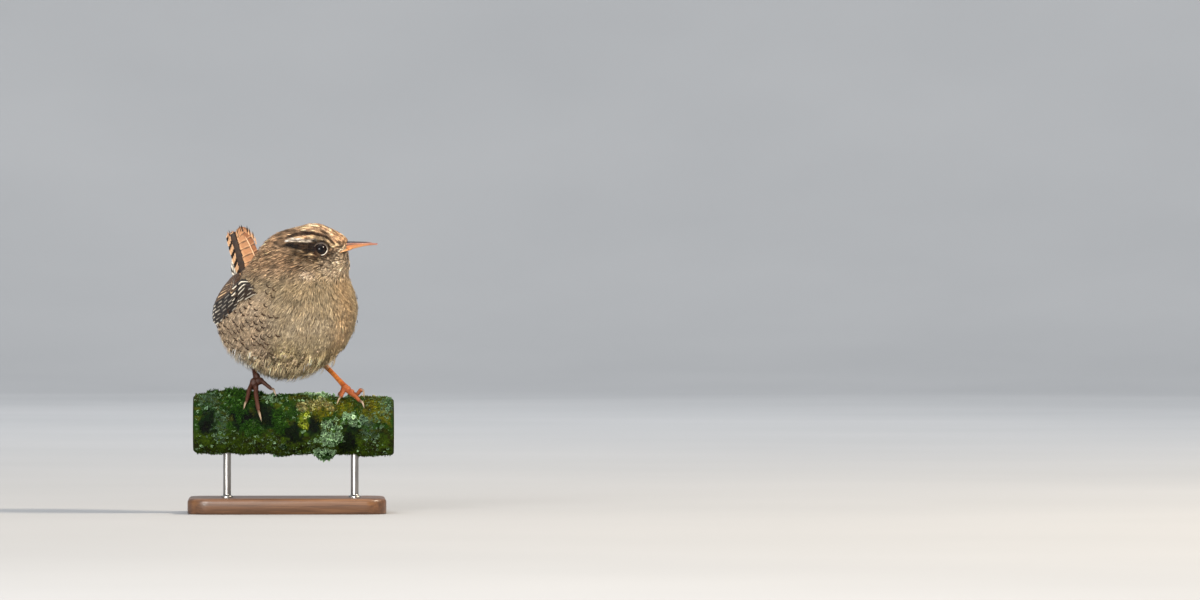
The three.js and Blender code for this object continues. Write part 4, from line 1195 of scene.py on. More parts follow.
def rectrix_colour(kind, phase):
    """kind: top (the broad panel), under (its neighbour beneath, painted near black as a shadowed gap), left or right
    (edges of the closed fan)
    """
    def f(s, x, v, total):
        q = (s - 2.0) / 2.8 + phase + 0.03 * np.sin(s * 2.1 + 5 * v)
        past = (q - np.round(q)) * 2.8                     # mm from a bar
        near = np.abs(past)
        own = mix(W["tail_low"], W["tail"], smooth(s, 8, 24))
        patchy = noise(np.stack([s * 0.5, x, np.zeros_like(s)], -1), 1.3, 61)
        own = own * (1 + 0.22 * patchy)[..., None]
        if kind == "under":
            # painted shadow: where this feather shows beside the panel it is made near black
            c = mix(W["bar"] * 0.35, own * 0.12, smooth(near, 0.3, 0.9) * 0.5)
        elif kind == "top":
            own = own * 0.82
            c = mix(own, W["tail_pale"], 0.26 * smooth(v, 0.0, 0.2))
            c = mix(c, W["tail_pale"], smooth(np.abs(past - 0.5), 0.32, 0.1) * 0.35)
            c = mix(c, W["tail_pale"], smooth(v, 0.72, 0.95) * 0.4)
            c = mix(c, W["bar"], smooth(near, 0.26, 0.12) * (0.85 - 0.35 * smooth(s, 22, 10)))
            c = mix(c, W["bar"], smooth(np.abs(v + 0.14), 0.07, 0.02) * 0.55 * smooth(s, 30, 24))
            # the top feather's shaft is painted pale: partly its own paler shaft, partly a painted highlight along its
            # raised ridge
            c = mix(c, W["shaft_pale_and_highlight"], smooth(np.abs(v), 0.075, 0.03) * smooth(s, 29.5, 27) * 0.95)
        elif kind == "right":
            c = mix(own * 0.9, W["bar"], smooth(near, 0.42, 0.2) * 0.8)
            c = mix(c, W["bar"], smooth(-v, 0.45, 0.58))
            c = mix(c, W["tail_pale"] * 1.1, smooth(-v, 0.70, 0.80) * (0.45 + 0.55 * smooth(near, 0.3, 0.7)))
        else:
            slant = (s - 2.0 - 1.1 * v) / 3.5 + phase
            gap = np.abs(slant - np.round(slant)) * 3.5
            c = mix(own * 0.7, W["bar"], smooth(gap, 1.1, 0.75))
            c = mix(c, W["tail_pale"] * (0.85 + 0.3 * smooth(-v, 0.5, 0.9))[..., None], smooth(-v, 0.0, 0.2) * smooth(gap, 0.66, 0.9))
            c = mix(c, W["tip"], smooth(-v, 0.1, 0.4) * smooth(gap, 0.62, 0.4))
        return mix(c, W["tip"], smooth(total - s, 0.55, 0.15) * smooth(noise(np.stack([x, 0 * x, 0 * x + phase * 9], -1), 0.9, 62), -0.1, 0.3) * 0.8)
    return f


def build_tail():
    net = Net()
    r = np.random.default_rng(31)
    # kind, side, shaft's place across at five steps, depth under the panel, reach in mm, webs' widths outside and inside
    feathers = [("left", -1, [-1.8, -3.6, -5.3, -5.6, -5.1], 2.05, 30.7, 1.55, 2.2), ("right", 1, [1.6, 2.9, 3.9, 4.0, 3.3], 0.95, 27.6, 1.5, 2.4),
                ("left", -1, [-1.6, -3.2, -4.8, -5.2, -4.8], 1.60, 31.0, 1.5, 2.2), ("right", 1, [1.4, 2.7, 3.6, 3.5, 2.7], 0.75, 29.3, 1.5, 2.4),
                ("left", -1, [-1.4, -2.8, -4.3, -4.8, -4.45], 1.15, 31.1, 1.5, 2.2), ("right", 1, [1.2, 2.5, 3.2, 2.9, 2.0], 0.55, 30.5, 1.5, 2.5),
                ("left", -1, [-1.2, -2.4, -3.8, -4.3, -4.1], 0.75, 31.2, 1.5, 2.4), ("right", 1, [1.1, 2.4, 2.9, 2.3, 1.2], 0.38, 31.4, 1.6, 2.6),
                ("under", -1, [-0.5, -1.5, -2.7, -2.5, -2.4], 0.42, 31.0, 3.7, 2.6), ("top", 1, [1.0, 1.9, 2.3, 1.0, -1.1], 0.0, 32.4, 3.0, 4.0)]
    place = cells(42, 6)
    K = 110
    s = np.linspace(0.0, 1, K)
    for k, (kind, side, knots, deep, reach, outer, inner) in enumerate(feathers):
        x = spread(knots, s)
        bow = 1.2 * np.sin(np.pi * s) - 1.1 * (x / 6.3) ** 2 * s
        t = 0.55 + bow - deep * smooth(s, -0.15, 0.55)
        P = tail_point(s * reach / TAIL_L, x, t)
        n = np.broadcast_to(T_TOP, P.shape) + T_ACROSS * (np.sign(x) * 0.12 * (np.abs(x) / 6.3))[:, None]
        along = unit(np.gradient(P, axis=0))
        n = unit(n - along * (n * along).sum(-1, keepdims=True))
        w = leaf(K, 0.42, 0.045, 0.62)
        if kind == "top":
            inner = np.interp(s * reach, [0, 10, 18, 23, 29, 32], [3.0, 5.0, 6.2, 5.4, 3.9, 2.8])
            w = leaf(K, 0.7, 0.06, 0.62)
        phase = 0.02 * r.normal() if kind == "top" else 0.37 * k + 0.05 * r.normal()
        # the outer web (v < 0) lies away from the middle
        vane(net, P, n, outer * w, inner * w, rectrix_colour(kind, phase), place[k],
             thick=0.16, camber=0.10, cols=21, flip=side * 1.0, edge=0.12, seed=70 + k, shaft=0.10)
    # worn barb ends stand out past the tip in small points
    for k in range(34):
        x1 = -6.5 + 11.4 * k / 33 + 0.12 * r.normal()
        edge = float(np.interp(x1, [-6.7, -2.95, -1.0, 2.75, 4.1, 5.2], [31.0, 31.0, 32.6, 30.9, 29.1, 26.9]))
        lift = 0.72 if x1 > -3.6 else -0.5 - 0.35 * (-3.6 - x1)
        ln = 2.6 + 0.6 * r.random()
        past = 0.15 + 0.55 * r.random() + (0.5 if k % 7 == 3 else 0.0)
        stem = np.linspace(0, 1, 4)
        at = (edge + past - ln * (1 - stem)) / TAIL_L
        pts = tail_point(at, x1 + 0.12 * (stem - 1) * (x1 + 1) * 0.5, np.full(4, lift) + 0.15 * r.normal() * stem)
        dark = k % 7 == 3 or r.random() < 0.18
        thin_rod(net, pts, 0.26 * (1 - 0.85 * stem ** 2), W["tip"] * 1.3 if dark else mix(W["tail"], W["tail_pale"], 0.3 + 0.6 * r.random()), place[34 + (0 if dark else 1)])
    # coverts over and under the tail's root
    for k in range(24):
        upper = k < 11
        kk = 40
        if upper:
            xx = (k - 5) / 5 * 3.6
            ss = np.linspace(0.06 + 0.02 * (k % 3), 0.52 - 0.012 * abs(k - 5), kk)
            tt = 2.2 - 1.4 * smooth(ss, 0.1, 0.5) - 0.05 * abs(xx) ** 1.5
        else:
            xx = (k - 17) / 6 * 5.0
            ss = np.linspace(-0.10 + 0.02 * (k % 3), 0.60 - 0.016 * abs(xx) ** 1.4 + (0.12 if k in (11, 12) else 0.0) + 0.05 * r.normal(), kk)
            tt = -(1.6 + 1.7 * smooth(ss, -0.05, 0.2) - 1.3 * smooth(ss, 0.25, 0.7)) + 0.04 * abs(xx) ** 1.5 - 0.12 * (k % 2)
        P = tail_point(ss, xx * (1 + 0.2 * ss), tt)
        n = unit(np.gradient(P, axis=0))
        base_n = T_TOP * (1 if upper else -1) + T_ACROSS * 0.12 * xx
        n = unit(base_n - n * (n @ base_n)[:, None])
        if upper:
            col = flight_colour(W["rufous"], W["buff"], W["bar"], 2.0, 0.62, 0.55, 0.1 * k, 0.3, 0.2)
        else:
            pale = C["vent"] if k < 13 else mix(C["mantle"] * 1.3, W["buff"], 0.3)
            col = flight_colour(pale * 0.85, pale, W["dark"] if k < 13 else W["mid"], 3.1, 0.60, 0.92 if k < 13 else 0.8, 0.33 * k, 0.0, 0.9, lean=0.45)
        w = leaf(kk, 0.5, 0.3)
        vane(net, P, n, (1.4 if upper else 1.15) * w, (1.4 if upper else 1.15) * w, col, place[10 + k], thick=0.14, camber=0.2, cols=13, flip=1.0, edge=0.3, seed=120 + k, shaft=0.03)
    # white undertail coverts with black notches that stand out beside the tail's foot
    for side in (-1, 1):
        for k, (x0, t0, reach) in enumerate([(5.3, -2.0, 26.0), (5.7, -2.7, 23.0), (6.0, -3.3, 20.0)]):
            ss = np.linspace(0.03, reach / TAIL_L, 44)
            g = smooth(ss, 0.03, 0.30)
            P = tail_point(ss, side * x0 * (0.55 + 0.45 * g), -0.6 + (t0 + 0.6) * g + 0.5 * smooth(ss, 0.45, 0.75))
            base_n = unit(T_TOP * 0.45 + T_ACROSS * side * 0.9)
            along = unit(np.gradient(P, axis=0))
            n = unit(base_n - along * (along @ base_n)[:, None])
            w = leaf(44, 0.5, 0.3)
            col = flight_colour(C["vent"] * 0.8, C["vent"] * 1.05, W["dark"], 2.8, 0.48, 0.95, 0.37 * k + 0.2, 0.0, 0.9, lean=0.45)
            vane(net, P, n, 1.25 * w, 1.25 * w, col, place[36 + k + (3 if side > 0 else 0)], thick=0.14, camber=0.25, cols=13, flip=side * 1.0, edge=0.3, seed=160 + k, shaft=0.03)
    o = net.make("tail_feathers", M_TAIL)
    return finished(o, "tail", slot="plumage_tail")


def thin_rod(net, pts, rad, colour, cell, sides=4):
    K = len(pts)
    tang = unit(np.gradient(pts, axis=0))
    ref = np.where(np.abs(tang[:, 2:3]) > 0.9, np.array([[1.0, 0, 0]]), np.array([[0, 0, 1.0]]))
    a = unit(np.cross(tang, ref))
    b = np.cross(tang, a)
    th = np.arange(sides) / sides * 2 * np.pi
    ring = pts[:, None] + rad[:, None, None] * (a[:, None] * np.cos(th)[None, :, None] + b[:, None] * np.sin(th)[None, :, None])
    V = np.concatenate([ring.reshape(-1, 3), pts[:1], pts[-1:]])
    q = grid_faces(K, sides, wrap=True)[:, ::-1]
    i = np.arange(sides)
    j = (i + 1) % sides
    n = K * sides
    cap0 = np.stack([np.full(sides, n), i, j], -1)[:, ::-1]
    e = (K - 1) * sides
    cap1 = np.stack([np.full(sides, n + 1), e + j, e + i], -1)[:, ::-1]
    u0, v0, du, dv = cell
    uv = np.stack([np.repeat(np.linspace(0, 1, K), sides) * du * 0.5 + u0 + 0.2 * du, np.full(K * sides, v0 + dv * 0.5)], -1)
    uv = np.concatenate([uv, uv[:1], uv[-1:]])
    net.add(V, [q, cap0, cap1], colour, uv)


build_tail()


# ================================================================ eyes
def eye_material():
    m, t, sh = material("eye_gloss")
    base = attribute(t).outputs["Color"]
    n = noise_tex(t, 3800, 3, 0.6)
    c = blend(t, base, ramp(t, n, [(0.35, (0.7, 0.7, 0.7)), (0.65, (1.3, 1.25, 1.2))]), 1.0, "MULTIPLY")
    t.links.new(c, sh.inputs["Base Color"])
    t.links.new(value_range(t, n, 0.04, 0.09, 0.3, 0.7), sh.inputs["Roughness"])
    sh.inputs["Specular IOR Level"].default_value = 0.12
    sh.inputs["Coat Weight"].default_value = 0.10
    sh.inputs["Coat Roughness"].default_value = 0.03
    return m


M_EYE = eye_material()
M_LID = tinted_material("eyelid_skin", 0.5, 0.4, 3000, 0.00003, contrast=0.18)


def build_eye(side, label):
    c, n = EYES[side]
    along = unit(np.cross(UP, n)) * (1 if side < 0 else -1)      # towards the bill or away: only the ellipse uses it
    up = unit(np.cross(n, along))
    rows, cols = 28, 48
    th = np.linspace(0, math.radians(100), rows)
    ph = np.arange(cols) / cols * 2 * np.pi
    rad = EYE_R * np.sin(th)[:, None] * np.ones((1, cols))
    hgt = EYE_R * np.cos(th)[:, None] + 0.10 * np.exp(-(rad / 1.2) ** 2)
    V = c + hgt[..., None] * n + rad[..., None] * (np.cos(ph)[None, :, None] * along + np.sin(ph)[None, :, None] * up)
    rr = rad.reshape(-1)
    col = mix(np.broadcast_to(np.array([0.004, 0.004, 0.005]), (len(rr), 3)), np.array([0.010, 0.006, 0.005]), smooth(rr, 1.15, 1.35))
    col = mix(col, np.array([0.006, 0.004, 0.004]), smooth(rr, 1.7, 2.0))
    net = Net()
    net.add(V.reshape(-1, 3), [grid_faces(rows, cols, wrap=True)[:, ::-1]], col,
            np.stack([0.5 + 0.17 * (V - c) @ along, 0.5 + 0.17 * (V - c) @ up], -1))
    # closes the back of the ball
    net.add(np.concatenate([V[-1], [c - 0.6 * n]]), [np.stack([np.arange(cols), (np.arange(cols) + 1) % cols, np.full(cols, cols)], -1)], col[0],
            np.full((cols + 1, 2), 0.5))
    o = net.make(f"eyeball_{label}", M_EYE)
    finished(o, f"eye_{label}", slot="eye")
    # lid: a rolled rim, then a slope down under the face's feathers
    prof = [(2.20, 1.50), (2.22, 1.68), (2.27, 1.80), (2.35, 1.87), (2.45, 1.88), (2.55, 1.82), (2.67, 1.70), (2.84, 1.48), (3.05, 1.16), (3.2, 0.75)]
    cols = 72
    ph = np.arange(cols) / cols * 2 * np.pi
    el = 1.045 + 0.0 * ph
    eh = 0.93 - 0.03 * np.sin(ph)
    V, tint = [], []
    for k, (r0, z0) in enumerate(prof):
        wob = 1 + 0.012 * np.sin(ph * 9 + k) + 0.008 * np.sin(ph * 23 + 2 * k)
        z = z0 + 0.02 * np.sin(ph * 17 + 1.3 * k)
        # a little point at the front and back corner of the lids
        point = 1 + 0.05 * np.exp(-((np.abs(np.cos(ph)) - 1) / 0.04) ** 2) * (k < 5)
        V.append(c + z[:, None] * n + (r0 * wob)[:, None] * ((el * np.cos(ph) * point)[:, None] * along + (eh * np.sin(ph))[:, None] * up))
        forward = np.cos(ph) * float(along @ HEAD[0])
        low_side = smooth(-np.sin(ph) + 0.55 * forward, -0.05, 0.85)
        shade = mix(np.broadcast_to(lin("0d0a08"), (cols, 3)), lin("15100c"), low_side) if k < 3 else (
            mix(np.broadcast_to(lin("4a3d30"), (cols, 3)), lin("d2c8b8"), low_side) if k < 6 else mix(np.broadcast_to(lin("2a1f16"), (cols, 3)), lin("4c3c2c"), low_side))
        tint.append(shade)
    V, tint = np.array(V), np.array(tint)
    net = Net()
    net.add(V.reshape(-1, 3), [grid_faces(len(prof), cols, wrap=True)[:, ::-1]], tint.reshape(-1, 3),
            np.stack([0.5 + 0.14 * (V - c) @ along, 0.5 + 0.14 * (V - c) @ up], -1))
    o = net.make(f"eyelid_{label}", M_LID)
    finished(o, slot="plumage_head")
    return c, n, along, up


EYE_FRAMES = {label: build_eye(side, label) for side, label in ((-1, "right"), (1, "left"))}


# ================================================================ bill
BILL_A = [9.8, 13.2, 17.0, 21.0, 25.4]
CULMEN = [60.1, 59.95, 59.85, 59.7, 59.05]
GAPE = [57.0, 58.35, 58.75, 58.9, 58.75]
GONYS = [55.2, 56.25, 57.35, 58.15, 58.5]
BILL_HALF = [2.3, 1.75, 1.15, 0.72, 0.26]


def build_bill(upper):
    rows, cols = 90, 56
    e = np.linspace(0, 1, rows) ** 0.9
    a = 9.8 + 15.6 * e
    th = np.arange(cols) / cols * 2 * np.pi
    x, z = np.cos(th), np.sin(th)
    mid, top, low, half = (spread(v, e)[:, None] for v in (GAPE, CULMEN, GONYS, BILL_HALF))
    rise = np.clip(z, 0, 1)[None]
    gap = 0.05
    if upper:
        h = np.maximum(top - mid, 0.42) - gap
        w = mid + gap + h * rise ** 0.8
        # cutting edge: rolls down a little over the lower half
        w = w - 0.16 * half * (np.abs(x)[None] ** 6) * (z[None] <= 0.2) * smooth(e, 0.0, 0.3)[:, None]
    else:
        h = np.maximum(mid - low, 0.34) - gap
        w = mid - gap - h * rise ** 0.8
    lx = x[None] * half * (1 - 0.2 * rise) * (1.0 if upper else 0.93)
    aa = np.broadcast_to(a[:, None], lx.shape).copy()
    # nostril slit with its little shelf, and a shallow groove running on from it
    if upper:
        slit = np.exp(-((aa - 14.9) / 0.95) ** 2 - ((w - (mid + 0.62 * h)) / 0.14) ** 2)
        lx = lx * (1 - 0.30 * slit)
        groove = np.exp(-((w - (mid + 0.52 * h)) / 0.16) ** 2) * smooth(aa, 20.5, 15)
        lx = lx * (1 - 0.05 * groove)
    V = on_head(aa.ravel(), lx.ravel(), w.ravel()).reshape(rows, cols, 3)
    P = V.reshape(-1, 3)
    share = ((w - (mid if upper else low)) / np.maximum(h, 1e-6))
    if upper:
        c = mix(np.broadcast_to(lin("8d5c49"), (rows, cols, 3)), lin("221a1e"), smooth(share, 0.25, 0.62) * smooth(aa, 25.4, 20.5))
        c = mix(c, lin("b98263"), smooth(share, 0.40, 0.05) * 0.6)
        c = mix(c, lin("2e1d18"), smooth(share, 0.16, 0.0) * smooth(aa, 19.5, 14.5) * 0.8)
        c = mix(c, lin("7d4a42"), smooth(aa, 21.5, 25) * 0.6)
        c = mix(c, lin("1c1413"), np.clip(slit * 1.3, 0, 0.9))
    else:
        c = mix(np.broadcast_to(lin("c07a48"), (rows, cols, 3)), lin("d9a97c"), smooth(share, 0.75, 0.1) * 0.6)
        c = mix(c, lin("a35f50"), smooth(aa, 19, 25) * 0.7)
        c = mix(c, lin("c59552"), smooth(aa, 14.5, 10.5) * 0.6)
        c = mix(c, lin("7a4030"), smooth(share, 0.80, 1.0) * smooth(aa, 21, 14) * 0.6)
        c = mix(c, lin("8a5238"), smooth(share, -0.55, -1.0) * 0.5)
    c = c * (1 + 0.06 * noise(P, 0.5, 40) + 0.05 * noise(P, 1.5, 41)).reshape(rows, cols, 1)
    faces = grid_faces(rows, cols, wrap=True)
    tip = on_head(np.array([a[-1] + 0.16]), np.array([0.0]), np.array([w[-1].mean()]))
    back = on_head(np.array([a[0]]), np.array([0.0]), np.array([w[0].mean()]))
    V = np.concatenate([P, tip, back])
    n = rows * cols
    i = np.arange(cols)
    j = (i + 1) % cols
    k = (rows - 1) * cols
    caps = np.concatenate([np.stack([k + i, k + j, np.full(cols, n)], -1), np.stack([j, i, np.full(cols, n + 1)], -1)])
    if not upper:
        faces, caps = faces[:, ::-1], caps[:, ::-1]
    faces, caps = faces[:, ::-1], caps[:, ::-1]
    cc = np.concatenate([c.reshape(-1, 3), c[-1, :1], c[0, :1]])
    uv = np.stack([np.repeat(0.03 + 0.94 * e, cols), np.tile(0.03 + 0.94 * np.arange(cols) / cols, rows)], -1)
    net = Net()
    net.add(V, [faces, caps], cc, np.concatenate([uv, uv[-1:], uv[:1]]))
    name = "bill_upper" if upper else "bill_lower"
    o = net.make("beak_upper" if upper else "beak_lower", M_BILL)
    return finished(o, name, slot=name)


M_BILL = tinted_material("bill_horn", 0.34, 0.5, 1500, 0.00003, coat=0.25, sss=0.12, contrast=0.10)
build_bill(True)
build_bill(False)


# ================================================================ legs and feet
LEGS = {
    "right": ([-13.6, 8.6, 15.3], [-11.7, -4.6, 5.4]),
    "left": ([12.4, 6.4, 14.2], [22.2, -4.2, 4.1]),
}
TOES = {
    "right": {
        "outer": ([[-13.2, -5.0, 5.3], [-14.4, -7.0, 3.2], [-15.0, -8.9, 0.6], [-15.5, -10.4, -1.6]], [[-16.0, -11.7, -2.3], [-16.6, -12.9, -4.6]]),
        "middle": ([[-11.9, -6.0, 4.8], [-11.9, -8.2, 2.0], [-11.5, -10.5, -1.4], [-10.9, -12.6, -5.0]], [[-10.5, -14.0, -6.3], [-9.7, -14.4, -9.2]]),
        "inner": ([[-10.9, -5.4, 5.7], [-9.7, -6.4, 6.1], [-8.4, -7.2, 5.2], [-6.0, -8.2, 3.2]], [[-5.2, -8.7, 3.0], [-4.1, -9.8, 0.4]]),
        "hallux": ([[-12.2, -3.0, 4.8], [-12.9, -0.6, 4.0], [-13.4, 2.2, 3.2]], [[-13.6, 4.2, 3.1], [-13.7, 6.6, 0.6]]),
    },
    "left": {
        "outer": ([[22.9, -4.3, 3.4], [25.0, -4.6, 1.6], [26.9, -5.1, 1.1], [28.3, -5.4, 3.1]], [[29.3, -5.7, 2.4], [29.6, -6.2, -0.4]]),
        "middle": ([[22.6, -5.3, 3.1], [24.3, -6.9, 1.6], [26.3, -8.6, 0.2], [27.8, -9.9, -1.4]], [[28.9, -10.9, -2.0], [29.6, -11.5, -4.2]]),
        "inner": ([[21.8, -5.2, 2.9], [21.2, -7.0, 1.6], [20.5, -8.8, 0.0]], [[19.9, -10.2, -0.6], [19.0, -11.4, -2.9]]),
        "hallux": ([[21.6, -3.0, 3.1], [20.9, -0.6, 1.7], [20.2, 2.2, 1.3]], [[19.8, 4.2, 0.9], [19.4, 6.4, -1.5]]),
    },
}


def tube_points(pts, radii, sides=16, steps=40, flat=1.0, ends=True):
    P, T, length = curve(pts, steps)
    ref = unit(np.cross(T[0], [0.3, 0.2, 0.9]))
    A = np.empty_like(P)
    for i in range(steps):
        ref = unit(ref - T[i] * (ref @ T[i]))
        A[i] = ref
    B = np.cross(T, A)
    s = np.linspace(0, 1, steps)
    r = np.interp(s, np.linspace(0, 1, len(radii)), radii) if np.ndim(radii) == 1 and len(radii) != steps else np.asarray(radii)
    th = np.arange(sides) / sides * 2 * np.pi
    V = P[:, None] + r[:, None, None] * (np.cos(th)[None, :, None] * A[:, None] + flat * np.sin(th)[None, :, None] * B[:, None])
    return V, P, T, s, length, r


def tube_faces(steps, sides):
    q = grid_faces(steps, sides, wrap=True)[:, ::-1]
    n = steps * sides
    i = np.arange(sides)
    j = (i + 1) % sides
    e = (steps - 1) * sides
    return q, np.concatenate([np.stack([j, i, np.full(sides, n)], -1), np.stack([e + i, e + j, np.full(sides, n + 1)], -1)])[:, ::-1]


def build_gape(side, label):
    aa = np.array([15.6, 14.6, 13.4, 12.3, 11.3])
    ww = np.array([57.3, 56.8, 56.3, 55.8, 55.2])
    P = surface_along(on_head(aa, 0.0, ww), np.repeat(side * HEAD[1][None], 5, 0))
    l = (head_of(P)[1] * side)
    l[:1] = np.minimum(l[:1], 1.25)
    l[1:2] = np.minimum(l[1:2], 1.9)
    P = on_head(aa, side * (l + 0.12), ww)
    V, Q, T, s, length, r = tube_points([list(p) for p in P], [0.42, 0.50, 0.46, 0.34, 0.10], 14, 40, 0.9)
    q, caps = tube_faces(40, 14)
    shade = mix(lin("c98a55"), lin("b98a58"), smooth(s, 0.2, 0.9))
    shade = mix(shade, lin("5c3a28"), smooth(s, 0.8, 1.0) * 0.7)
    cc = np.concatenate([np.repeat(shade[:, None], 14, 1).reshape(-1, 3), shade[:1], shade[-1:]])
    uv = np.stack([np.repeat(0.05 + 0.9 * s, 14), np.tile(0.05 + 0.9 * np.arange(14) / 14, 40)], -1)
    net = Net()
    net.add(np.concatenate([V.reshape(-1, 3), P[:1], P[-1:]]), [q, caps], cc, np.concatenate([uv, uv[:1], uv[-1:]]))
    return finished(net.make(f"gape_{label}", M_BILL), slot="bill_lower")


for _side, _label in ((-1, "right"), (1, "left")):
    build_gape(_side, _label)


def remeshed(net, name, voxel, smooth_steps):
    """one closed skin round overlapping forms"""
    me = bpy.data.meshes.new(name + "_forms")
    v = (np.concatenate(net.v) + (0, 0, LIFT)) * MM * 100       # larger while it is remeshed
    f, k = [], 0
    flat, sizes = np.concatenate(net.f), np.concatenate(net.n)
    for s in sizes:
        f.append(flat[k:k + s].tolist())
        k += s
    me.from_pydata(v.tolist(), [], f)
    o = bpy.data.objects.new(name + "_forms", me)
    bpy.context.scene.collection.objects.link(o)
    m = o.modifiers.new("remesh", "REMESH")
    m.mode, m.voxel_size = "VOXEL", voxel * MM * 100
    sm = o.modifiers.new("smooth", "SMOOTH")
    sm.factor, sm.iterations = 0.5, smooth_steps
    got = bpy.data.meshes.new_from_object(o.evaluated_get(bpy.context.evaluated_depsgraph_get()))
    V = np.empty(len(got.vertices) * 3)
    got.vertices.foreach_get("co", V)
    V = V.reshape(-1, 3) / (MM * 100) - (0, 0, LIFT)
    idx = np.empty(len(got.loops), np.int32)
    got.loops.foreach_get("vertex_index", idx)
    tot = np.empty(len(got.polygons), np.int32)
    got.polygons.foreach_get("loop_total", tot)
    N = np.empty(len(got.vertices) * 3)
    got.vertices.foreach_get("normal", N)
    bpy.data.objects.remove(o)
    bpy.data.meshes.remove(me)
    bpy.data.meshes.remove(got)
    return V, N.reshape(-1, 3), idx, tot


M_SHANK = tinted_material("leg_scutes", 0.52, 0.22, 2600, 0.00005, coat=0.0, sss=0.05, contrast=0.2)
M_CLAW = tinted_material("claw_horn", 0.4, 0.35, 1800, 0.00002, coat=0.1, sss=0.05, contrast=0.14)


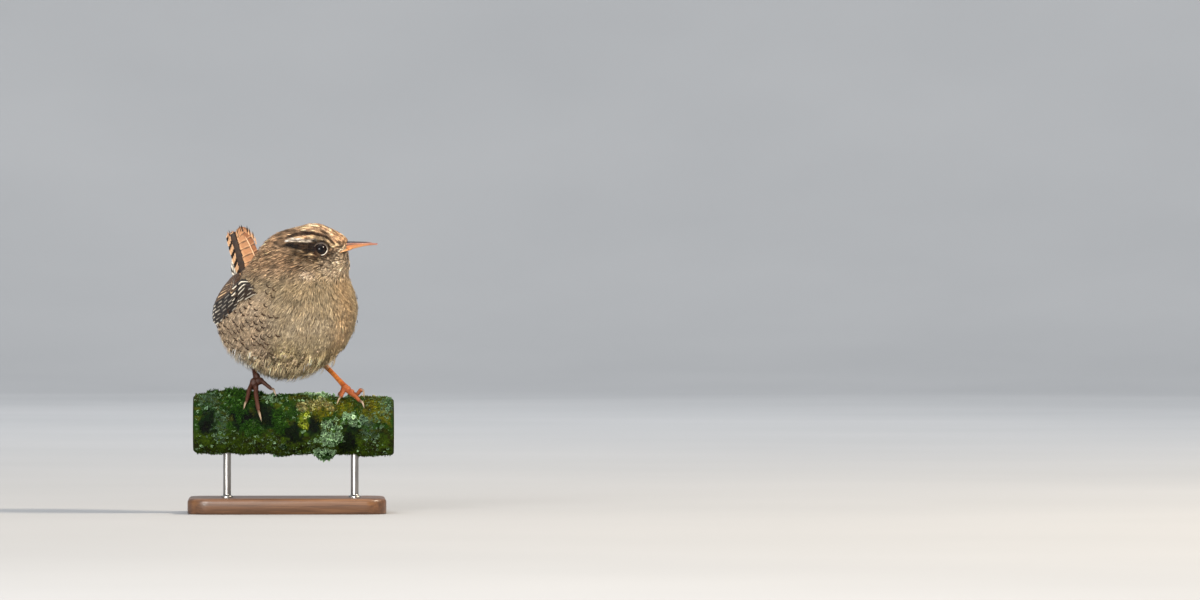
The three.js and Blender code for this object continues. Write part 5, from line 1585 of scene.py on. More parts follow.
def build_leg(leg):
    heel, joint = map(np.array, LEGS[leg])
    net = Net()
    courses = []
    mid = heel * 0.5 + joint * 0.5 + (0, 0, 0.25)
    for key, pts, radii, flat in [("tarsus", [heel, mid, joint], [1.25, 1.02, 0.92, 0.95, 1.15], 1.0)] + [
            (k, [joint + (np.array(v[0][0]) - joint) * 0.3] + v[0], [1.05, 1.0, 0.84, 0.92, 0.76, 0.82, 0.58], 0.94) for k, v in TOES[leg].items()]:
        V, P, T, s, length, r = tube_points(pts, radii, 14, 36, flat)
        q, caps = tube_faces(36, 14)
        net.add(np.concatenate([V.reshape(-1, 3), P[:1], P[-1:]]), [q, caps], (1, 1, 1))
        courses.append((key, P, T, np.linspace(0, length, 36)))
    # the ball of the foot, where the toes part, and the pads beneath the toes' joints
    pads = [(joint + (0.1, -0.6, 0.0), (1.25, 1.2, 1.1))]
    if leg == "right":
        pads += [((-12.6, -5.4, 5.3), (1.75, 1.2, 2.3)), ((-10.5, -5.4, 6.3), (1.7, 1.2, 1.45)), ((-11.9, -7.2, 3.4), (1.0, 0.9, 1.6)), ((-11.6, -4.4, 7.6), (1.35, 1.2, 1.8))]
    else:
        pads += [((22.9, -4.9, 3.2), (1.7, 1.2, 1.35)), ((24.6, -6.4, 2.2), (1.25, 1.0, 0.95)), ((28.2, -5.4, 2.6), (0.9, 0.85, 0.85))]
    for cc, rr in pads:
        th = np.linspace(0, np.pi, 12)
        ph = np.arange(18) / 18 * 2 * np.pi
        V = np.array(cc) + np.stack([np.outer(np.sin(th), np.cos(ph)) * rr[0], np.outer(np.sin(th), np.sin(ph)) * rr[1], np.outer(np.cos(th), np.ones(18)) * rr[2]], -1)
        net.add(V.reshape(-1, 3), [grid_faces(12, 18, wrap=True)[:, ::-1]], (1, 1, 1))
    V, N, idx, tot = remeshed(net, f"foot_{leg}", 0.15, 5)
    # plates: nearest course and how far along it
    best, at, tang, which = np.full(len(V), 1e9), np.zeros(len(V)), np.zeros_like(V), np.zeros(len(V), int)
    for w, (key, P, T, run) in enumerate(courses):
        d = np.linalg.norm(V[:, None] - P[None], axis=-1)
        k = d.argmin(1)
        dd = d[np.arange(len(V)), k]
        better = dd < best
        k = k[better]
        q = V[better] - P[k]
        best[better], tang[better], which[better] = dd[better], T[k], w
        at[better] = run[k] + (q * T[k]).sum(-1)
    front = np.where((which == 0)[:, None], np.array([[0.25, -0.85, 0.4]]), np.array([[0.0, -0.35, 0.95]]))
    facing = smooth((N * unit(front)).sum(-1), -0.25, 0.35)
    step = np.where(which == 0, 1.75, 0.82)
    saw = (at / step) % 1.0
    plate = smooth(saw, 0.0, 0.14) * smooth(saw, 1.0, 0.90)
    V = V + N * (0.055 * (plate - 0.7) * facing + 0.02 * noise(V, 0.35, 51) * (1 - facing))[:, None]
    # painted shade: the right foot's colours are a much darker copy of the left's, as that foot stands in shadow under
    # the body
    main = lin("a45f26") if leg == "left" else lin("3a2015")
    deep = lin("58270f") if leg == "left" else lin("1e0f0a")
    c = mix(np.broadcast_to(main, V.shape), deep, 0.75 * (1 - plate) * facing)
    c = mix(c, deep, 0.5 * smooth(noise(V, 1.1, 52), 0.1, 0.8))
    # faces turned down take another tone: painted shade under the left foot, a slightly lighter greyer brown under the
    # right
    c = mix(c, lin("7a4f30") if leg == "left" else lin("3f2c22"), smooth(-N[:, 2], 0.3, 0.9) * 0.5)
    if leg == "right":  # the toes are lighter and redder than the shank
        c = mix(c, lin("4f2d21"), smooth(V[:, 2], 6.0, 1.0) * 0.6)
    if leg == "left":   # redder about the joint
        near = np.exp(-((V - np.array(joint)) ** 2).sum(-1) / 6.0)
        c = mix(c, lin("742c12"), near * 0.8)
        c = mix(c, lin("763a20"), smooth(V[:, 2], 4.6, 2.8) * 0.75)
    o = mesh_object(f"foot_{leg}", V, idx, tot, M_SHANK, tint=c)
    finished(o, f"tarsus_{leg}", *[f"toe_{leg}_{k}" for k in TOES[leg]], slot="shank")
    for key, (course, tip) in TOES[leg].items():
        root = np.array(course[-1])
        back = np.array(course[-2])
        pts = [root + unit(back - root) * 0.35, root, *map(np.array, tip)]
        V, P, T, s, length, r = tube_points(pts, [0.36, 0.44, 0.41, 0.34, 0.25, 0.15, 0.035], 12, 34, 1.15)
        V = V * 1.0
        q, caps = tube_faces(34, 12)
        shade = mix(lin("5d4535"), lin("94816a"), smooth(s, 0.15, 0.6))
        shade = mix(shade, lin("4d4038"), smooth(s, 0.75, 1.0) * 0.7)
        cc = np.repeat(shade[:, None], 12, 1).reshape(-1, 3)
        uv = np.stack([np.repeat(0.05 + 0.9 * s, 12), np.tile(0.05 + 0.9 * np.arange(12) / 12, 34)], -1)
        net = Net()
        net.add(np.concatenate([V.reshape(-1, 3), P[:1], P[-1:] + T[-1:] * 0.05]), [q, caps], np.concatenate([cc, cc[:1], cc[-1:]]), np.concatenate([uv, uv[:1], uv[-1:]]))
        o = net.make(f"nail_{leg}_{key}", M_CLAW)
        finished(o, f"claw_{leg}_{key}", slot="claw")


build_leg("right")
build_leg("left")


# ================================================================ perch: bark under moss and lichen
PX0, PX1 = -36.0, 41.0


def perch_axis(x):
    return -10.7 - 0.012 * x


def perch_radius(x, a):
    top = np.maximum(0, np.cos(a))
    return (10.9 + 0.3 * np.sin(0.21 * x + 1.1) + 0.22 * np.sin(3 * a + 0.13 * x) + 0.16 * np.sin(5 * a - 0.31 * x)
            + 2.3 * np.exp(-((x + 18) / 8) ** 2) * top ** 2 + 0.9 * np.exp(-((x - 5) / 9) ** 2) * top ** 2
            + 1.7 * np.exp(-((x - 15.5) / 5) ** 2) * np.maximum(0, np.cos(a - math.radians(118))) ** 3)


def perch_point(x, a, h):
    r = perch_radius(x, a) + h
    return np.stack([x + 0 * r, -2 - r * np.sin(a), perch_axis(x) + r * np.cos(a)], -1)


def patch(x, a, cx, cz, rx, rz, soft=0.45):
    """0..1 inside a ragged patch whose middle is at cx along the perch and height cz on its near side"""
    r = 10.9
    ac = math.acos(max(-1, min(1, (cz - perch_axis(cx)) / r)))
    q = ((a - ac + math.pi) % (2 * math.pi) - math.pi) * r
    sl = max(0.35, math.sin(ac))
    P = np.stack([x, r * np.sin(a), r * np.cos(a)], -1)
    e = np.sqrt(((x - cx) / rx) ** 2 + (q / (rz / sl)) ** 2) + 0.42 * noise(P, 2.6, 61) + 0.34 * noise(P, 1.0, 62)
    return smooth(e, 1 + soft * 0.5, 1 - soft * 0.5)


PATCHES = {   # middle along, middle height, half extents
    "blue": [(-30.2, -1.5, 3.6, 3.0), (-25.5, -10.5, 3.2, 6.0), (31.8, -12.6, 4.0, 4.6), (38.5, -3.5, 3.0, 3.0)],
    "leafy": [(-18.8, 0.4, 4.6, 4.2), (-2.5, -8.5, 2.8, 4.6), (-13.0, -12.0, 4.0, 3.0)],
    "yellow": [(6.2, -9.0, 2.0, 2.6), (7.6, -6.6, 1.2, 1.2)],
    "cream": [(8.0, -4.2, 4.2, 1.5), (12.5, -2.6, 5.5, 1.6), (16.5, -4.4, 2.2, 1.2)],
    "pale": [(16.6, -14.2, 5.2, 4.6), (23.5, -8.8, 4.8, 2.4), (-6.0, -1.5, 3.5, 1.5), (11.9, 0.2, 6.0, 1.6)],
    "olive": [(21.3, -3.7, 3.6, 2.8), (34.0, -4.8, 6.0, 4.2), (13.5, -5.0, 5.0, 3.5)],
    # dark: near-black moss, partly darker moss and partly painted shade
    "dark": [(23.5, -17.5, 3.8, 5.2), (-8.0, -7.0, 4.5, 5.0), (2.0, -13.5, 4.0, 4.0), (-17.5, -8.0, 4.0, 4.0), (-30.0, -9.0, 3.0, 4.0), (10.5, -11.0, 2.5, 3.5)],
}
_r = np.random.default_rng(77)
BACK = []
for _k in range(34):
    BACK.append((["blue", "leafy", "pale", "olive", "dark", "cream", "yellow"][int(_r.integers(0, 7))], PX0 + 77 * _r.random(), math.pi * (1.02 + 0.9 * _r.random()), 2 + 3 * _r.random(), 1.5 + 2.5 * _r.random()))


def cover(x, a):
    """how much of each growth lies at a place on the perch"""
    out = {}
    near = smooth(np.sin(a), -0.10, 0.10)
    P = np.stack([x, 10.9 * np.sin(a), 10.9 * np.cos(a)], -1)
    for kind, spots in PATCHES.items():
        m = np.zeros(np.shape(x))
        for cx, cz, rx, rz in spots:
            m = np.maximum(m, patch(x, a, cx, cz, rx, rz) * near)
        for k, cx, ac, rx, ry in BACK:
            if k == kind:
                q = ((a - ac + math.pi) % (2 * math.pi) - math.pi) * 10.9
                e = np.sqrt(((x - cx) / rx) ** 2 + (q / ry) ** 2) + 0.35 * noise(P, 2.2, 63) + 0.22 * noise(P, 0.9, 62)
                m = np.maximum(m, smooth(e, 1.2, 0.8) * (1 - near))
        out[kind] = m
    return out


PC = {k: lin(v) for k, v in dict(
    bark="171202", moss="1a3104", moss_dark="020900", olive="3a3e09", low="2f3f00", gold="575207",
    blue="3a4e3c", pale="67805f", pale_green="40602b", yellow="78811a", cream="7a6c40", leafy="1c390c",
).items()}


def perch_colour(x, a, cov, P):
    n1, n2, n3 = noise(P, 3.5, 71), noise(P, 1.4, 72), noise(P, 0.6, 73)
    c = mix(np.broadcast_to(PC["moss"], P.shape), PC["moss_dark"], smooth(n1 + 0.6 * n2, 0.0, 0.7))
    c = mix(c, PC["olive"], smooth(n2 - 0.3 * n1, 0.05, 0.5) * 0.6)
    low = smooth(np.cos(a), -0.05, -0.45)
    c = mix(c, mix(np.broadcast_to(PC["low"], P.shape), PC["bark"], smooth(n2 + 0.5 * n3, 0.1, 0.6) * 0.8), low * 0.85)
    top = smooth(np.cos(a), 0.55, 0.9)
    c = mix(c, PC["olive"], top * smooth(n1, -0.2, 0.5) * 0.5)
    # the dark patches: partly darker moss, partly painted shade
    c = mix(c, PC["moss_dark"], cov["dark"] * 0.8)
    c = mix(c, PC["gold"], cov["olive"] * (0.25 + 0.45 * smooth(n3, -0.3, 0.4)))
    c = mix(c, PC["leafy"], cov["leafy"] * 0.6)
    c = mix(c, PC["blue"], cov["blue"] * (0.05 + 0.55 * smooth(n3 + 0.4 * n2, 0.0, 0.5)))
    c = mix(c, PC["cream"], cov["cream"] * (0.1 + 0.6 * smooth(n3, -0.1, 0.4)))
    c = mix(c, PC["yellow"], cov["yellow"] * 0.45)
    c = mix(c, PC["pale_green"], cov["pale"] * 0.3 * smooth(n3, -0.2, 0.5))
    return c


# places the feet and claws touch: bark is kept low and growth is kept off them
GRIP = []
for _leg, _toes in TOES.items():
    for _course, _tip in _toes.values():
        q_, _, _ = curve([*_course, *_tip], 24)
        GRIP.append(q_)
    GRIP.append(np.array([LEGS[_leg][1]]) + np.random.default_rng(5).normal(0, 0.8, (12, 3)))
GRIP = np.concatenate(GRIP)


def grip_gap(P):
    flat = P.reshape(-1, 3)
    out = np.empty(len(flat))
    for i in range(0, len(flat), 20000):
        out[i:i + 20000] = np.linalg.norm(flat[i:i + 20000, None] - GRIP[None], axis=-1).min(1)
    return out.reshape(P.shape[:-1])


def perch_height(x, a, cov):
    P = np.stack([x, 10.9 * np.sin(a), 10.9 * np.cos(a)], -1)
    lumps = 0.42 * noise(P, 3.4, 81) + 0.30 * noise(P, 1.5, 82) + 0.22 * noise(P, 0.75, 83) + 0.08 * noise(P, 0.4, 84)
    furrow = np.abs(noise(np.stack([x * 0.45, P[..., 1], P[..., 2]], -1), 2.2, 85))
    h = lumps - 0.35 * smooth(furrow, 0.16, 0.0) * (1 - cov["leafy"]) + 0.25 * (cov["pale"] + cov["blue"] + cov["leafy"]) + 0.15 * cov["olive"] - 0.25 * cov["dark"]
    h = np.clip(h, -0.75, 0.9)
    g = grip_gap(perch_point(x, a, 0.0))
    return h * smooth(g, 1.2, 3.4) - 0.22 * smooth(g, 3.4, 1.2)


def perch_material():
    m, t, sh = material("bark_moss")
    base = attribute(t).outputs["Color"]
    n = noise_tex(t, 1500, 5, 0.65)
    c = blend(t, base, ramp(t, n, [(0.28, (0.55, 0.56, 0.5)), (0.5, (1.0, 1.0, 1.0)), (0.74, (1.6, 1.6, 1.45))]), 1.0, "MULTIPLY")
    t.links.new(c, sh.inputs["Base Color"])
    t.links.new(value_range(t, n, 0.7, 0.95, 0.3, 0.7), sh.inputs["Roughness"])
    sh.inputs["Specular IOR Level"].default_value = 0.06
    bump(t, sh, n, 0.0003, 0.9)
    return m


def growth_material(name, rough, sheen, contrast=0.22):
    m, t, sh = material(name)
    base = attribute(t).outputs["Color"]
    n = noise_tex(t, 2600, 4, 0.6)
    c = blend(t, base, ramp(t, n, [(0.3, (1 - contrast,) * 3), (0.7, (1 + contrast,) * 3)]), 1.0, "MULTIPLY")
    t.links.new(c, sh.inputs["Base Color"])
    t.links.new(value_range(t, n, rough - 0.1, rough + 0.1, 0.3, 0.7), sh.inputs["Roughness"])
    sh.inputs["Specular IOR Level"].default_value = 0.05
    sh.inputs["Sheen Weight"].default_value = sheen * 0.05
    bump(t, sh, n, 0.00008, 0.6)
    return m


M_PERCH = perch_material()
M_MOSS = growth_material("moss_leaves", 0.7, 0.2)
M_LICHEN = growth_material("lichen_lobes", 0.8, 0.1, 0.16)

rows, cols = 340, 250
gx = np.linspace(PX0, PX1, rows)
ga = np.arange(cols) / cols * 2 * np.pi
X, A = np.meshgrid(gx, ga, indexing="ij")
cov = cover(X, A)
H = perch_height(X, A, cov)
endness = np.minimum(X - PX0, PX1 - X)
H = H * smooth(endness, 0.3, 2.0) - 0.65 * smooth(endness, 0.7, 0.0)
P = perch_point(X, A, H)
col = perch_colour(X, A, cov, P)
# painted shade in the bark's hollows and painted light on its crests: colour scaled from 0.55 at the lowest to 1.3 at
# the highest
relief_light_and_shade = smooth(H, -0.5, 0.5)
col = col * (0.55 + 0.75 * relief_light_and_shade)[..., None]
uv = np.stack([0.02 + 0.78 * (X - PX0) / (PX1 - PX0), 0.02 + 0.96 * A / (2 * np.pi)], -1)
net = Net()
net.add(P, [grid_faces(rows, cols, wrap=True)[:, ::-1]], col.reshape(-1, 3))
f = net.f[-1].reshape(-1, 4)
uv_corner = uv.reshape(-1, 2)[f]
wrapped = (uv_corner[:, :, 1].max(1) - uv_corner[:, :, 1].min(1)) > 0.5
uv_corner[wrapped] = np.where(uv_corner[wrapped][:, :, 1:2] < 0.5, uv_corner[wrapped] + (0, 0.96), uv_corner[wrapped])
o = mesh_object("perch_bark", np.concatenate(net.v), f, np.full(len(f), 4), M_PERCH, tint=np.concatenate(net.c), uv=uv_corner.reshape(-1, 2))
finished(o, "perch", slot="bark")
PERCH_RIM = {0: P[0].copy(), 1: P[-1].copy()}


def wood_end_material():
    m, t, sh = material("sawn_wood")
    mp = t.nodes.new("ShaderNodeMapping")
    mp.inputs["Location"].default_value = (0, 0.0011, -(LIFT - 10.2) * MM)
    t.links.new(coords(t), mp.inputs[0])
    n = noise_tex(t, 220, 4, 0.6, mp.outputs[0])
    w = node(t, "ShaderNodeTexWave", wave_type="RINGS", rings_direction="X", Scale=330.0, Distortion=2.2, Detail=3.0, Detail_Scale=2.0)
    t.links.new(mp.outputs[0], w.inputs["Vector"])
    c = ramp(t, w.outputs["Fac"], [(0.0, lin("8a6a44")), (0.35, lin("b9976a")), (0.8, lin("c8aa7d")), (1.0, lin("94734c"))])
    c = blend(t, c, ramp(t, n, [(0.3, (0.78, 0.76, 0.72)), (0.7, (1.12, 1.1, 1.08))]), 1.0, "MULTIPLY")
    c = blend(t, c, attribute(t).outputs["Color"], 1.0, "MULTIPLY")
    t.links.new(c, sh.inputs["Base Color"])
    t.links.new(value_range(t, n, 0.6, 0.85, 0.3, 0.7), sh.inputs["Roughness"])
    bump(t, sh, w.outputs["Fac"], 0.00012, 0.6)
    return m


M_END = wood_end_material()
net = Net()
for k in (0, 1):
    rim = PERCH_RIM[k]
    mid = np.array([rim[:, 0].mean(), -2.0, perch_axis(rim[:, 0].mean())])
    share = np.concatenate([[1.0, 0.975, 0.93], np.linspace(0.9, 0.02, 26)])
    ring = mid + (rim - mid)[None] * share[:, None, None]
    bulge = (0.30 * (1 - share ** 4) + 0.05 * noise(ring, 1.2, 90).mean(1))[:, None] * np.ones((1, cols)) + 0.05 * noise(ring * (0, 1, 1), 0.8, 91) * (share[:, None] < 0.95)
    ring[..., 0] += (-bulge if k == 0 else bulge) * 0.35
    tone = np.where(share > 0.95, 0.22, np.where(share > 0.88, 0.55, 1.0))
    crack = smooth(np.abs(((np.arange(cols) / cols * 7 + 0.3 * noise(ring[10], 3, 92)) % 1) - 0.5), 0.03, 0.0) * smooth(share[:, None], 0.2, 0.7)
    c = (tone[:, None] * (1 - 0.6 * crack))[..., None] * np.ones(3)
    u = 0.90 + 0.045 * share[:, None] * np.cos(ga)[None] * 1.0
    v = (0.25 if k == 0 else 0.75) + 0.2 * share[:, None] * np.sin(ga)[None]
    q = grid_faces(len(share), cols, wrap=True)
    capf = np.stack([np.arange(cols), (np.arange(cols) + 1) % cols, np.full(cols, len(share) * cols)], -1)
    capf[:, :2] += (len(share) - 1) * cols
    if k == 0:
        q, capf = q, capf
    else:
        q, capf = q[:, ::-1], capf[:, ::-1]
    centre = mid + ((-1 if k == 0 else 1) * 0.12, 0, 0)
    net.add(np.concatenate([ring.reshape(-1, 3), centre[None]]), [q, capf], np.concatenate([c.reshape(-1, 3), c[-1, :1]]),
            np.concatenate([np.stack([u, v], -1).reshape(-1, 2), [[0.9, 0.25 if k == 0 else 0.75]]]))
o = net.make("perch_ends", M_END)
finished(o, slot="bark")


def blades(name, P, d, n, length, half, colour, tip, mat, slot="bark", seed=1, uv=None, bendy=0.35, ts=(0.0, 0.5, 1.0), widths=(0.8, 1.0, 0.0), thick=0.6):
    """small pointed, three-sided leaves"""
    r = np.random.default_rng(seed)
    F, T = len(P), len(ts)
    side = unit(np.cross(d, n) + 1e-6)
    up = np.cross(side, d)
    bend = r.normal(0, bendy, (F, 1)) * side + (0.25 + r.normal(0, bendy, (F, 1))) * up
    pts = np.stack([P + length[:, None] * (t * d + t * t * bend) for t in ts], 1)
    w = half[:, None] * np.asarray(widths)[None]
    off = [side, -0.5 * side + 0.866 * up, -0.5 * side - 0.866 * up * thick]
    rings = np.stack([pts[:, :-1] + w[:, :-1, None] * q[:, None] for q in off], 2).reshape(F, (T - 1) * 3, 3)
    V = np.concatenate([rings, pts[:, -1:]], 1)
    per = (T - 1) * 3 + 1
    q4, q3 = [], [[2, 1, 0]]
    for k in range(T - 2):
        for c in range(3):
            m = (c + 1) % 3
            q4.append([3 * k + c, 3 * k + m, 3 * k + 3 + m, 3 * k + 3 + c])
    for c in range(3):
        q3.append([3 * (T - 2) + c, 3 * (T - 2) + (c + 1) % 3, per - 1])
    base = (np.arange(F) * per)[:, None, None]
    q4, q3 = (base + np.array(q4)[None]).reshape(-1, 4), (base + np.array(q3)[None]).reshape(-1, 3)
    # painted shade: each leaf darkens to half its colour towards its base, down among the others, and its tip takes the
    # separate tip colour
    shade = np.repeat(np.linspace(0, 1, T - 1), 3)
    c = np.concatenate([colour[:, None] * (0.5 + 0.5 * shade)[None, :, None] + 0 * rings, tip[:, None]], 1).reshape(-1, 3)
    u = None
    if uv is not None:
        ring_uv = np.array([(0.0009 * (k % 3), 0.0028 * (k // 3) / max(T - 2, 1)) for k in range((T - 1) * 3)] + [(0.0009, 0.0028)])
        u = (uv[:, None] + ring_uv[None]).reshape(-1, 2)
    f = np.concatenate([q4.ravel(), q3.ravel()])
    sizes = np.concatenate([np.full(len(q4), 4), np.full(len(q3), 3)])
    o = mesh_object(name, V.reshape(-1, 3), f, sizes, mat, tint=c, uv=u)
    return finished(o, slot=slot)


def lobes(name, P, n, size, colour, edge, mat, seed=1, uv=None, rim=9, cup=0.3, thick=0.16, slot="bark"):
    """small ragged plates with a curled rim, closed underneath"""
    r = np.random.default_rng(seed)
    F = len(P)
    ref = unit(r.normal(0, 1, (F, 3)))
    x = unit(np.cross(n, ref))
    y = np.cross(n, x)
    th = np.arange(rim) / rim * 2 * np.pi
    rr = size[:, None] * (1 + 0.30 * np.sin(th * 3 + r.random((F, 1)) * 6) + r.normal(0, 0.16, (F, rim)))
    rise = size[:, None] * (cup + 0.30 * np.sin(th * 2 + r.random((F, 1)) * 6) + r.normal(0, 0.14, (F, rim)))
    out = P[:, None] + x[:, None] * (rr * np.cos(th))[..., None] + y[:, None] * (rr * np.sin(th))[..., None] + n[:, None] * rise[..., None]
    inner = P[:, None] + (x[:, None] * (rr * np.cos(th))[..., None] + y[:, None] * (rr * np.sin(th))[..., None]) * 0.55 + n[:, None] * (rise * 0.25 + 0.05 * size[:, None])[..., None]
    top = (P + n * 0.02)[:, None]
    low = (P - n * (thick * size)[:, None] * 1.5)[:, None]
    V = np.concatenate([out, inner, top, low], 1)
    per = 2 * rim + 2
    q, t3 = [], []
    for k in range(rim):
        m = (k + 1) % rim
        q.append([rim + k, k, m, rim + m])
        t3.append([2 * rim, rim + k, rim + m])
        t3.append([2 * rim + 1, m, k])
    base = (np.arange(F) * per)[:, None, None]
    q, t3 = (base + np.array(q)[None]).reshape(-1, 4), (base + np.array(t3)[None]).reshape(-1, 3)
    # the rim takes the bright edge colour, the middle 0.8 and the underside 0.35 of the colour: rims partly paler,
    # partly painted highlight, and painted shade beneath
    c = np.concatenate([np.repeat(edge[:, None], rim, 1), np.repeat(colour[:, None], rim, 1), colour[:, None] * 0.8, colour[:, None] * 0.35], 1).reshape(-1, 3)
    u = None
    if uv is not None:
        k = np.arange(per)
        ring = np.concatenate([np.stack([0.0014 + 0.0014 * np.cos(th), 0.0014 + 0.0014 * np.sin(th)], -1), np.stack([0.0014 + 0.0008 * np.cos(th), 0.0014 + 0.0008 * np.sin(th)], -1), [[0.0014, 0.0014], [0.0014, 0.0014]]])
        u = (uv[:, None] + ring[None]).reshape(-1, 2)
    o = mesh_object(name, V.reshape(-1, 3), np.concatenate([q.ravel(), t3.ravel()]), np.concatenate([np.full(len(q), 4), np.full(len(t3), 3)]), mat, tint=c, uv=u, smooth_on=False)
    return finished(o, slot=slot)


def growth_places(n, seed, want, keep_off=1.15):
    r = np.random.default_rng(seed)
    x = PX0 + 0.9 + (PX1 - PX0 - 1.8) * r.random(n)
    a = r.random(n) * 2 * np.pi
    cv = cover(x, a)
    m = r.random(n) < want(x, a, cv)
    x, a = x[m], a[m]
    cv = {k: v[m] for k, v in cv.items()}
    h = perch_height(x, a, cv)
    P = perch_point(x, a, h)
    g = grip_gap(P)
    m = g > keep_off
    return x[m], a[m], {k: v[m] for k, v in cv.items()}, P[m], g[m], r


def radial(a):
    return np.stack([0 * a, -np.sin(a), np.cos(a)], -1)


def patch_uv(x, a):
    return np.stack([0.02 + 0.95 * (x - PX0) / (PX1 - PX0), 0.02 + 0.95 * a / (2 * np.pi)], -1)


# moss: short dark leaves nearly everywhere, longer and greener in the leafy clumps
x, a, cv, P, g, r = growth_places(34000, 201, lambda x, a, c: np.clip(0.62 + 0.3 * c["leafy"] + 0.2 * c["olive"] - 0.35 * c["blue"] - 0.45 * c["pale"] - 0.1 * c["cream"], 0.05, 1))
n = radial(a)
flat = r.normal(0, 1, P.shape)
d = unit(n * (0.75 + 0.5 * cv["leafy"])[:, None] + flat * 0.55 + np.array([0, 0, -0.25]) * (np.cos(a) < 0.2)[:, None])
ln = (0.50 + 0.30 * r.random(len(x))) * (1 + 1.3 * cv["leafy"] + 0.35 * cv["olive"])
ln = np.minimum(ln, np.maximum(0.3, (g - 0.85) * 0.9))
base = perch_colour(x, a, cv, P)
tone = np.exp(r.normal(0.05, 0.42, (len(x), 1)))
tint = base * tone
green = mix(np.broadcast_to(PC["leafy"], base.shape), PC["moss"], r.random(len(x)))
tint = mix(tint, green * tone, cv["leafy"] * 0.7)
# the moss tips are 2.3 times the leaves' colour: partly paler tips, partly painted highlight
blades("moss_short", P - n * 0.12, d, n, ln, 0.10 + 0.07 * r.random(len(x)) + 0.05 * cv["leafy"], tint, np.clip(tint * 2.3 + 0.004, 0, 0.8), M_MOSS, seed=202, uv=patch_uv(x, a))

# grainy grey, bluish and cream lichen: crumbs and short twigs
x, a, cv, P, g, r = growth_places(30000, 211, lambda x, a, c: np.clip(0.42 * c["blue"] + 0.40 * c["cream"] + 0.28 * c["pale"] - 0.5 * c["dark"] + 0.03 + 0.08 * (noise(np.stack([x, 10.9 * np.sin(a), 10.9 * np.cos(a)], -1), 2.5, 66) > 0.15), 0, 1))
n = radial(a)
d = unit(n + r.normal(0, 0.75, P.shape))
own = mix(np.broadcast_to(PC["pale"], P.shape), PC["blue"], cv["blue"])
own = mix(own, PC["cream"], cv["cream"] * 0.8)
tone = np.exp(r.normal(0.0, 0.35, (len(x), 1)))
ln = np.minimum(0.45 + 0.5 * r.random(len(x)), np.maximum(0.25, (g - 0.85) * 0.9))
# the twigs are 0.42 of the lichen's colour and their tips twice it: painted shade on the twigs, and tips partly paler,
# partly painted highlight
blades("lichen_twigs", P - n * 0.1, d, n, ln, 0.10 + 0.06 * r.random(len(x)), own * tone * 0.42, np.clip(own * tone * 2.0, 0, 0.85), M_LICHEN, seed=212, uv=patch_uv(x, a), widths=(0.9, 1.0, 0.0))
x, a, cv, P, g, r = growth_places(16000, 221, lambda x, a, c: np.clip(0.26 * c["blue"] + 0.22 * c["cream"] + 0.5 * c["pale"] + 0.5 * c["yellow"] + 0.28 * c["leafy"] - 0.5 * c["dark"] + 0.045, 0, 1), 1.5)
n = radial(a)
nn = unit(n + r.normal(0, 0.55, P.shape))
own = mix(np.broadcast_to(PC["pale"], P.shape), PC["blue"], cv["blue"] * 0.8)
own = mix(own, PC["cream"], cv["cream"] * 0.7)
own = mix(own, PC["yellow"], cv["yellow"] * 0.9)
own = mix(own, PC["pale_green"], np.clip(cv["leafy"] * 0.9 + 0.25 * (noise(P, 1.5, 95) > 0.2), 0, 1))
tone = np.exp(r.normal(-0.2, 0.45, (len(x), 1)))
size = (0.26 + 0.42 * r.random(len(x))) * (1 + 0.5 * cv["pale"] + 0.3 * cv["yellow"])
size = np.minimum(size, np.maximum(0.2, (g - 1.1) * 0.7))
# lobes are 0.45 of the lichen's colour with rims at 1.9: painted shade on the lobes, and rims partly paler, partly
# painted highlight
lobes("lichen_lobes", P + n * (0.05 + 0.45 * r.random(len(x)) * (0.3 + cv["pale"]))[:, None], nn, size, own * tone * 0.45, np.clip(own * tone * 1.9, 0, 0.85), M_LICHEN, seed=222, uv=patch_uv(x, a), rim=7)

# the lichen clump hanging under the perch and the little knob beside it
def clump(name, c, rad, n_lobes, tone, seed):
    r = np.random.default_rng(seed)
    th, ph = np.linspace(0.02, math.pi - 0.02, 26), np.arange(40) / 40 * 2 * np.pi
    D = np.stack([np.outer(np.sin(th), np.cos(ph)), np.outer(np.sin(th), np.sin(ph)), np.outer(np.cos(th), np.ones(40))], -1)
    wob = 1 + 0.22 * noise(D * 3 + seed, 1.0, seed)[..., None] + 0.10 * noise(D * 8, 1.0, seed + 1)[..., None]
    V = c + D * rad * wob * 0.82
    colour = mix(np.broadcast_to(PC["moss_dark"], V.shape), PC["moss"], smooth(noise(V, 0.9, 96), -0.3, 0.5))
    net = Net()
    net.add(V, [grid_faces(26, 40, wrap=True)], colour.reshape(-1, 3), np.stack([0.02 + 0.5 * (V[..., 0] - PX0) / 77, 0.5 + 0.3 * D[..., 2]], -1))
    finished(net.make(name + "_core", M_PERCH), slot="bark")
    d = unit(r.normal(0, 1, (n_lobes, 3)))
    P = c + d * rad * (0.8 + 0.25 * r.random((n_lobes, 1)))
    own = np.where((d[:, 2:3] > -0.25) | (r.random((n_lobes, 1)) < 0.45), PC["pale"], PC["leafy"]) * np.exp(r.normal(-0.1, 0.3, (n_lobes, 1))) * tone
    uv = np.stack([0.02 + 0.9 * (P[:, 0] - PX0) / 77, 0.5 + 0.3 * d[:, 2]], -1)
    # lobes are 0.45 of their colour with rims at 1.9: painted shade on the lobes, and rims partly paler, partly painted
    # highlight
    lobes(name + "_lobes", P, unit(d + r.normal(0, 0.5, d.shape)), 0.35 + 0.5 * r.random(n_lobes), own * 0.45, np.clip(own * 1.9, 0, 0.85), M_LICHEN, seed=seed + 3, uv=uv, rim=8)


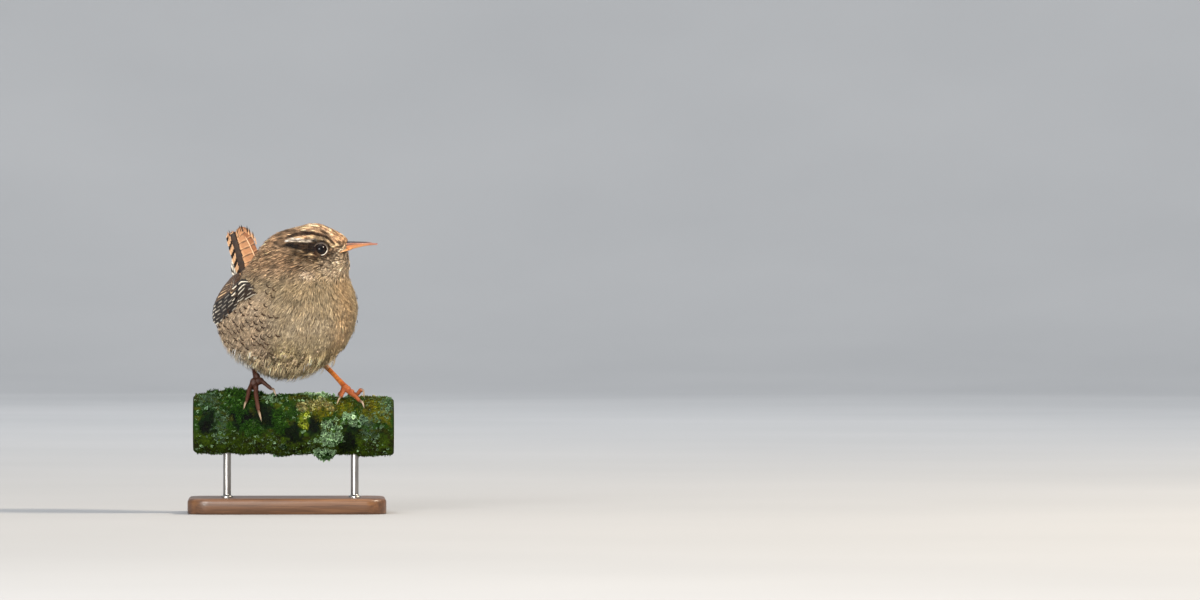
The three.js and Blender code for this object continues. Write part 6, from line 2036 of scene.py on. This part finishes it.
clump("clump_low", np.array([14.6, -8.2, -20.6]), np.array([4.0, 2.6, 3.3]), 420, 1.0, 301)
clump("clump_mid", np.array([16.8, -12.3, -14.6]), np.array([4.3, 1.5, 4.0]), 420, 1.1, 311)
clump("clump_knob", np.array([-1.4, -9.6, -18.2]), np.array([1.4, 1.2, 1.3]), 60, 0.55, 321)


# ================================================================ stand
def wood_material():
    m, t, sh = material("stand_walnut")
    n = noise_tex(t, 60, 6, 0.6, stretch=(0.35, 6.0, 6.0))
    fine = noise_tex(t, 500, 4, 0.6, stretch=(0.15, 5.0, 5.0))
    c = ramp(t, n, [(0.3, lin("3d2818")), (0.5, lin("5c3d26")), (0.7, lin("765234"))])
    c = blend(t, c, ramp(t, fine, [(0.3, (0.75, 0.73, 0.7)), (0.7, (1.15, 1.13, 1.1))]), 1.0, "MULTIPLY")
    t.links.new(c, sh.inputs["Base Color"])
    t.links.new(value_range(t, fine, 0.34, 0.5, 0.3, 0.7), sh.inputs["Roughness"])
    sh.inputs["Coat Weight"].default_value = 0.15
    sh.inputs["Coat Roughness"].default_value = 0.25
    bump(t, sh, fine, 0.00006, 0.6)
    return m


def metal_material():
    m, t, sh = material("stand_steel")
    n = noise_tex(t, 900, 3, 0.6, stretch=(4.0, 4.0, 0.12))
    c = ramp(t, n, [(0.3, lin("8d8b88")), (0.7, lin("b3b1ae"))])
    t.links.new(c, sh.inputs["Base Color"])
    sh.inputs["Metallic"].default_value = 1.0
    t.links.new(value_range(t, n, 0.26, 0.42, 0.3, 0.7), sh.inputs["Roughness"])
    bump(t, sh, n, 0.00002, 0.5)
    return m


def rounded(w, d, r, seg=12):
    out = []
    for k, (sx, sy) in enumerate(((1, 1), (-1, 1), (-1, -1), (1, -1))):
        for i in range(seg + 1):
            th = math.pi / 2 * (k + i / seg)
            out.append((sx * (w / 2 - r) + r * math.cos(th), sy * (d / 2 - r) + r * math.sin(th)))
    return np.array(out)


net = Net()
levels = [(0.0, 0.7), (0.12, 0.3), (0.45, 0.0), (4.6, 0.0), (5.05, 0.08), (5.45, 0.30), (5.75, 0.62), (5.93, 1.05), (6.0, 1.6)]
rings = [np.column_stack([rounded(76 - 2 * e, 52 - 2 * e, 8 - e), np.full(52, h)]) for h, e in levels]
V = np.concatenate(rings)
m_ = 52
q = grid_faces(len(levels), m_, wrap=True)
inner = np.concatenate([rounded(72 - 8 * k, 48 - 8 * k, max(6 - k, 1.5)) for k in range(1, 6)])
inner = np.column_stack([inner, np.full(len(inner), 6.0)])
V2 = np.concatenate([V, inner, [[0, 0, 6.0]]])
n_l = len(levels)
q2 = grid_faces(6, m_, wrap=True) + (n_l - 1) * m_
cap = np.stack([np.arange(m_) + (n_l + 4) * m_, (np.arange(m_) + 1) % m_ + (n_l + 4) * m_, np.full(m_, len(V2) - 1)], -1)
flat_out = np.concatenate([rounded(76 - 2 * e + 2 * (6 - h), 52 - 2 * e + 2 * (6 - h), 8 - e + 6 - h) for h, e in levels] + [inner[:, :2], [[0, 0]]])
net.add(V2, [q, q2, cap], (1, 1, 1), flat_out / 130 + (0.5, 0.62))
under = np.concatenate([rings[0], [[0, 0, 0.0]]])
capl = np.stack([(np.arange(m_) + 1) % m_, np.arange(m_), np.full(m_, m_)], -1)
net.add(under, [capl], (1, 1, 1), under[:, :2] / 260 + (0.2, 0.15))
o = net.make("base_plate", wood_material(), lift=False)
finished(o, "stand_base", slot="stand_wood")
M_STEEL = metal_material()
for k, xr in enumerate((-23.0, 26.0)):
    net = Net()
    topz = float(LIFT + perch_axis(xr) - 10.9 + 5)
    prof = [(2.4, 5.9), (2.4, 6.35), (2.25, 6.6), (1.75, 6.72), (1.53, 6.95), (1.5, 7.3)] + [(1.5, h) for h in np.linspace(8, topz - 1, 10)] + [(1.5, topz)]
    th = np.arange(48) / 48 * 2 * np.pi
    V = np.array([[(xr + rr * math.cos(t_), -2 + rr * math.sin(t_), h) for t_ in th] for rr, h in prof])
    net.add(V, [grid_faces(len(prof), 48, wrap=True)], (1, 1, 1), np.stack([np.tile(th / 7, (len(prof), 1)), np.repeat(np.linspace(0, 0.95, len(prof)), 48).reshape(len(prof), 48)], -1))
    o = net.make(f"rod_{k + 1}", M_STEEL, lift=False)
    finished(o, f"stand_rod_{k + 1}", slot="stand_metal")


# ================================================================ floor, light, camera
def stage_floor():
    m, t, sh = material("studio_paper")
    n = noise_tex(t, 2.5, 3, 0.5)
    c = ramp(t, n, [(0.3, (0.345, 0.352, 0.362)), (0.7, (0.375, 0.381, 0.390))])
    t.links.new(c, sh.inputs["Base Color"])
    t.links.new(value_range(t, n, 0.85, 0.95), sh.inputs["Roughness"])
    sh.inputs["Specular IOR Level"].default_value = 0.1
    rr = np.concatenate([np.linspace(0.001, 0.5, 6), np.linspace(0.6, 4, 14), 4 + 2 * np.sin(np.linspace(0.08, 1, 20) * math.pi / 2)])
    hh = np.concatenate([np.zeros(20), 2 * (1 - np.cos(np.linspace(0.08, 1, 20) * math.pi / 2))])
    rr, hh = np.append(rr, [6, 6]), np.append(hh, [3, 4.5])
    th = np.arange(96) / 96 * 2 * np.pi
    V = np.stack([np.outer(rr, np.cos(th)), np.outer(rr, np.sin(th)), np.outer(hh, np.ones(96))], -1).reshape(-1, 3)
    f = grid_faces(len(rr), 96, wrap=True)
    o = mesh_object("floor", V * 1000, f, np.full(len(f), 4), m, lift=False)


stage_floor()


def area(name, loc, target, size, power, colour):
    d = bpy.data.lights.new(name, "AREA")
    d.shape, d.size, d.energy, d.color = "DISK", size, power, colour
    o = bpy.data.objects.new(name, d)
    o.location = loc
    o.rotation_euler = (Vector(target) - Vector(loc)).to_track_quat("-Z", "Y").to_euler()
    bpy.context.scene.collection.objects.link(o)
    return o


area("key", (1.45, -0.45, 1.30), (0.0, 0.0, 0.08), 0.42, 52, (1.0, 0.85, 0.66))
area("front", (-0.75, -2.0, 0.55), (0.0, 0.0, 0.06), 1.3, 72, (1.0, 0.975, 0.94))
area("top", (0.1, 0.3, 2.4), (0.0, 0.0, 0.08), 1.6, 14, (0.97, 0.98, 1.0))
area("wash", (0.0, 1.5, 3.4), (0.0, 6.0, 1.0), 2.5, 150, (0.97, 0.985, 1.0))
w = bpy.data.worlds.new("studio")
w.use_nodes = True
w.node_tree.nodes["Background"].inputs[0].default_value = (0.90, 0.925, 0.96, 1)
w.node_tree.nodes["Background"].inputs[1].default_value = 0.82
bpy.context.scene.world = w
bpy.context.scene.view_settings.view_transform = "Standard"

cam = bpy.data.cameras.new("camera")
cam.sensor_width = 36
cam.lens = 36 * 3.0 / (1200 * 0.385 * MM)
cam.clip_start, cam.clip_end = 0.05, 40
co = bpy.data.objects.new("camera", cam)
co.location = (0.0, -3.0, 0.08185)
co.rotation_euler = (math.radians(90), 0, -math.atan(0.1205 / 3.0))
bpy.context.scene.collection.objects.link(co)
bpy.context.scene.camera = co
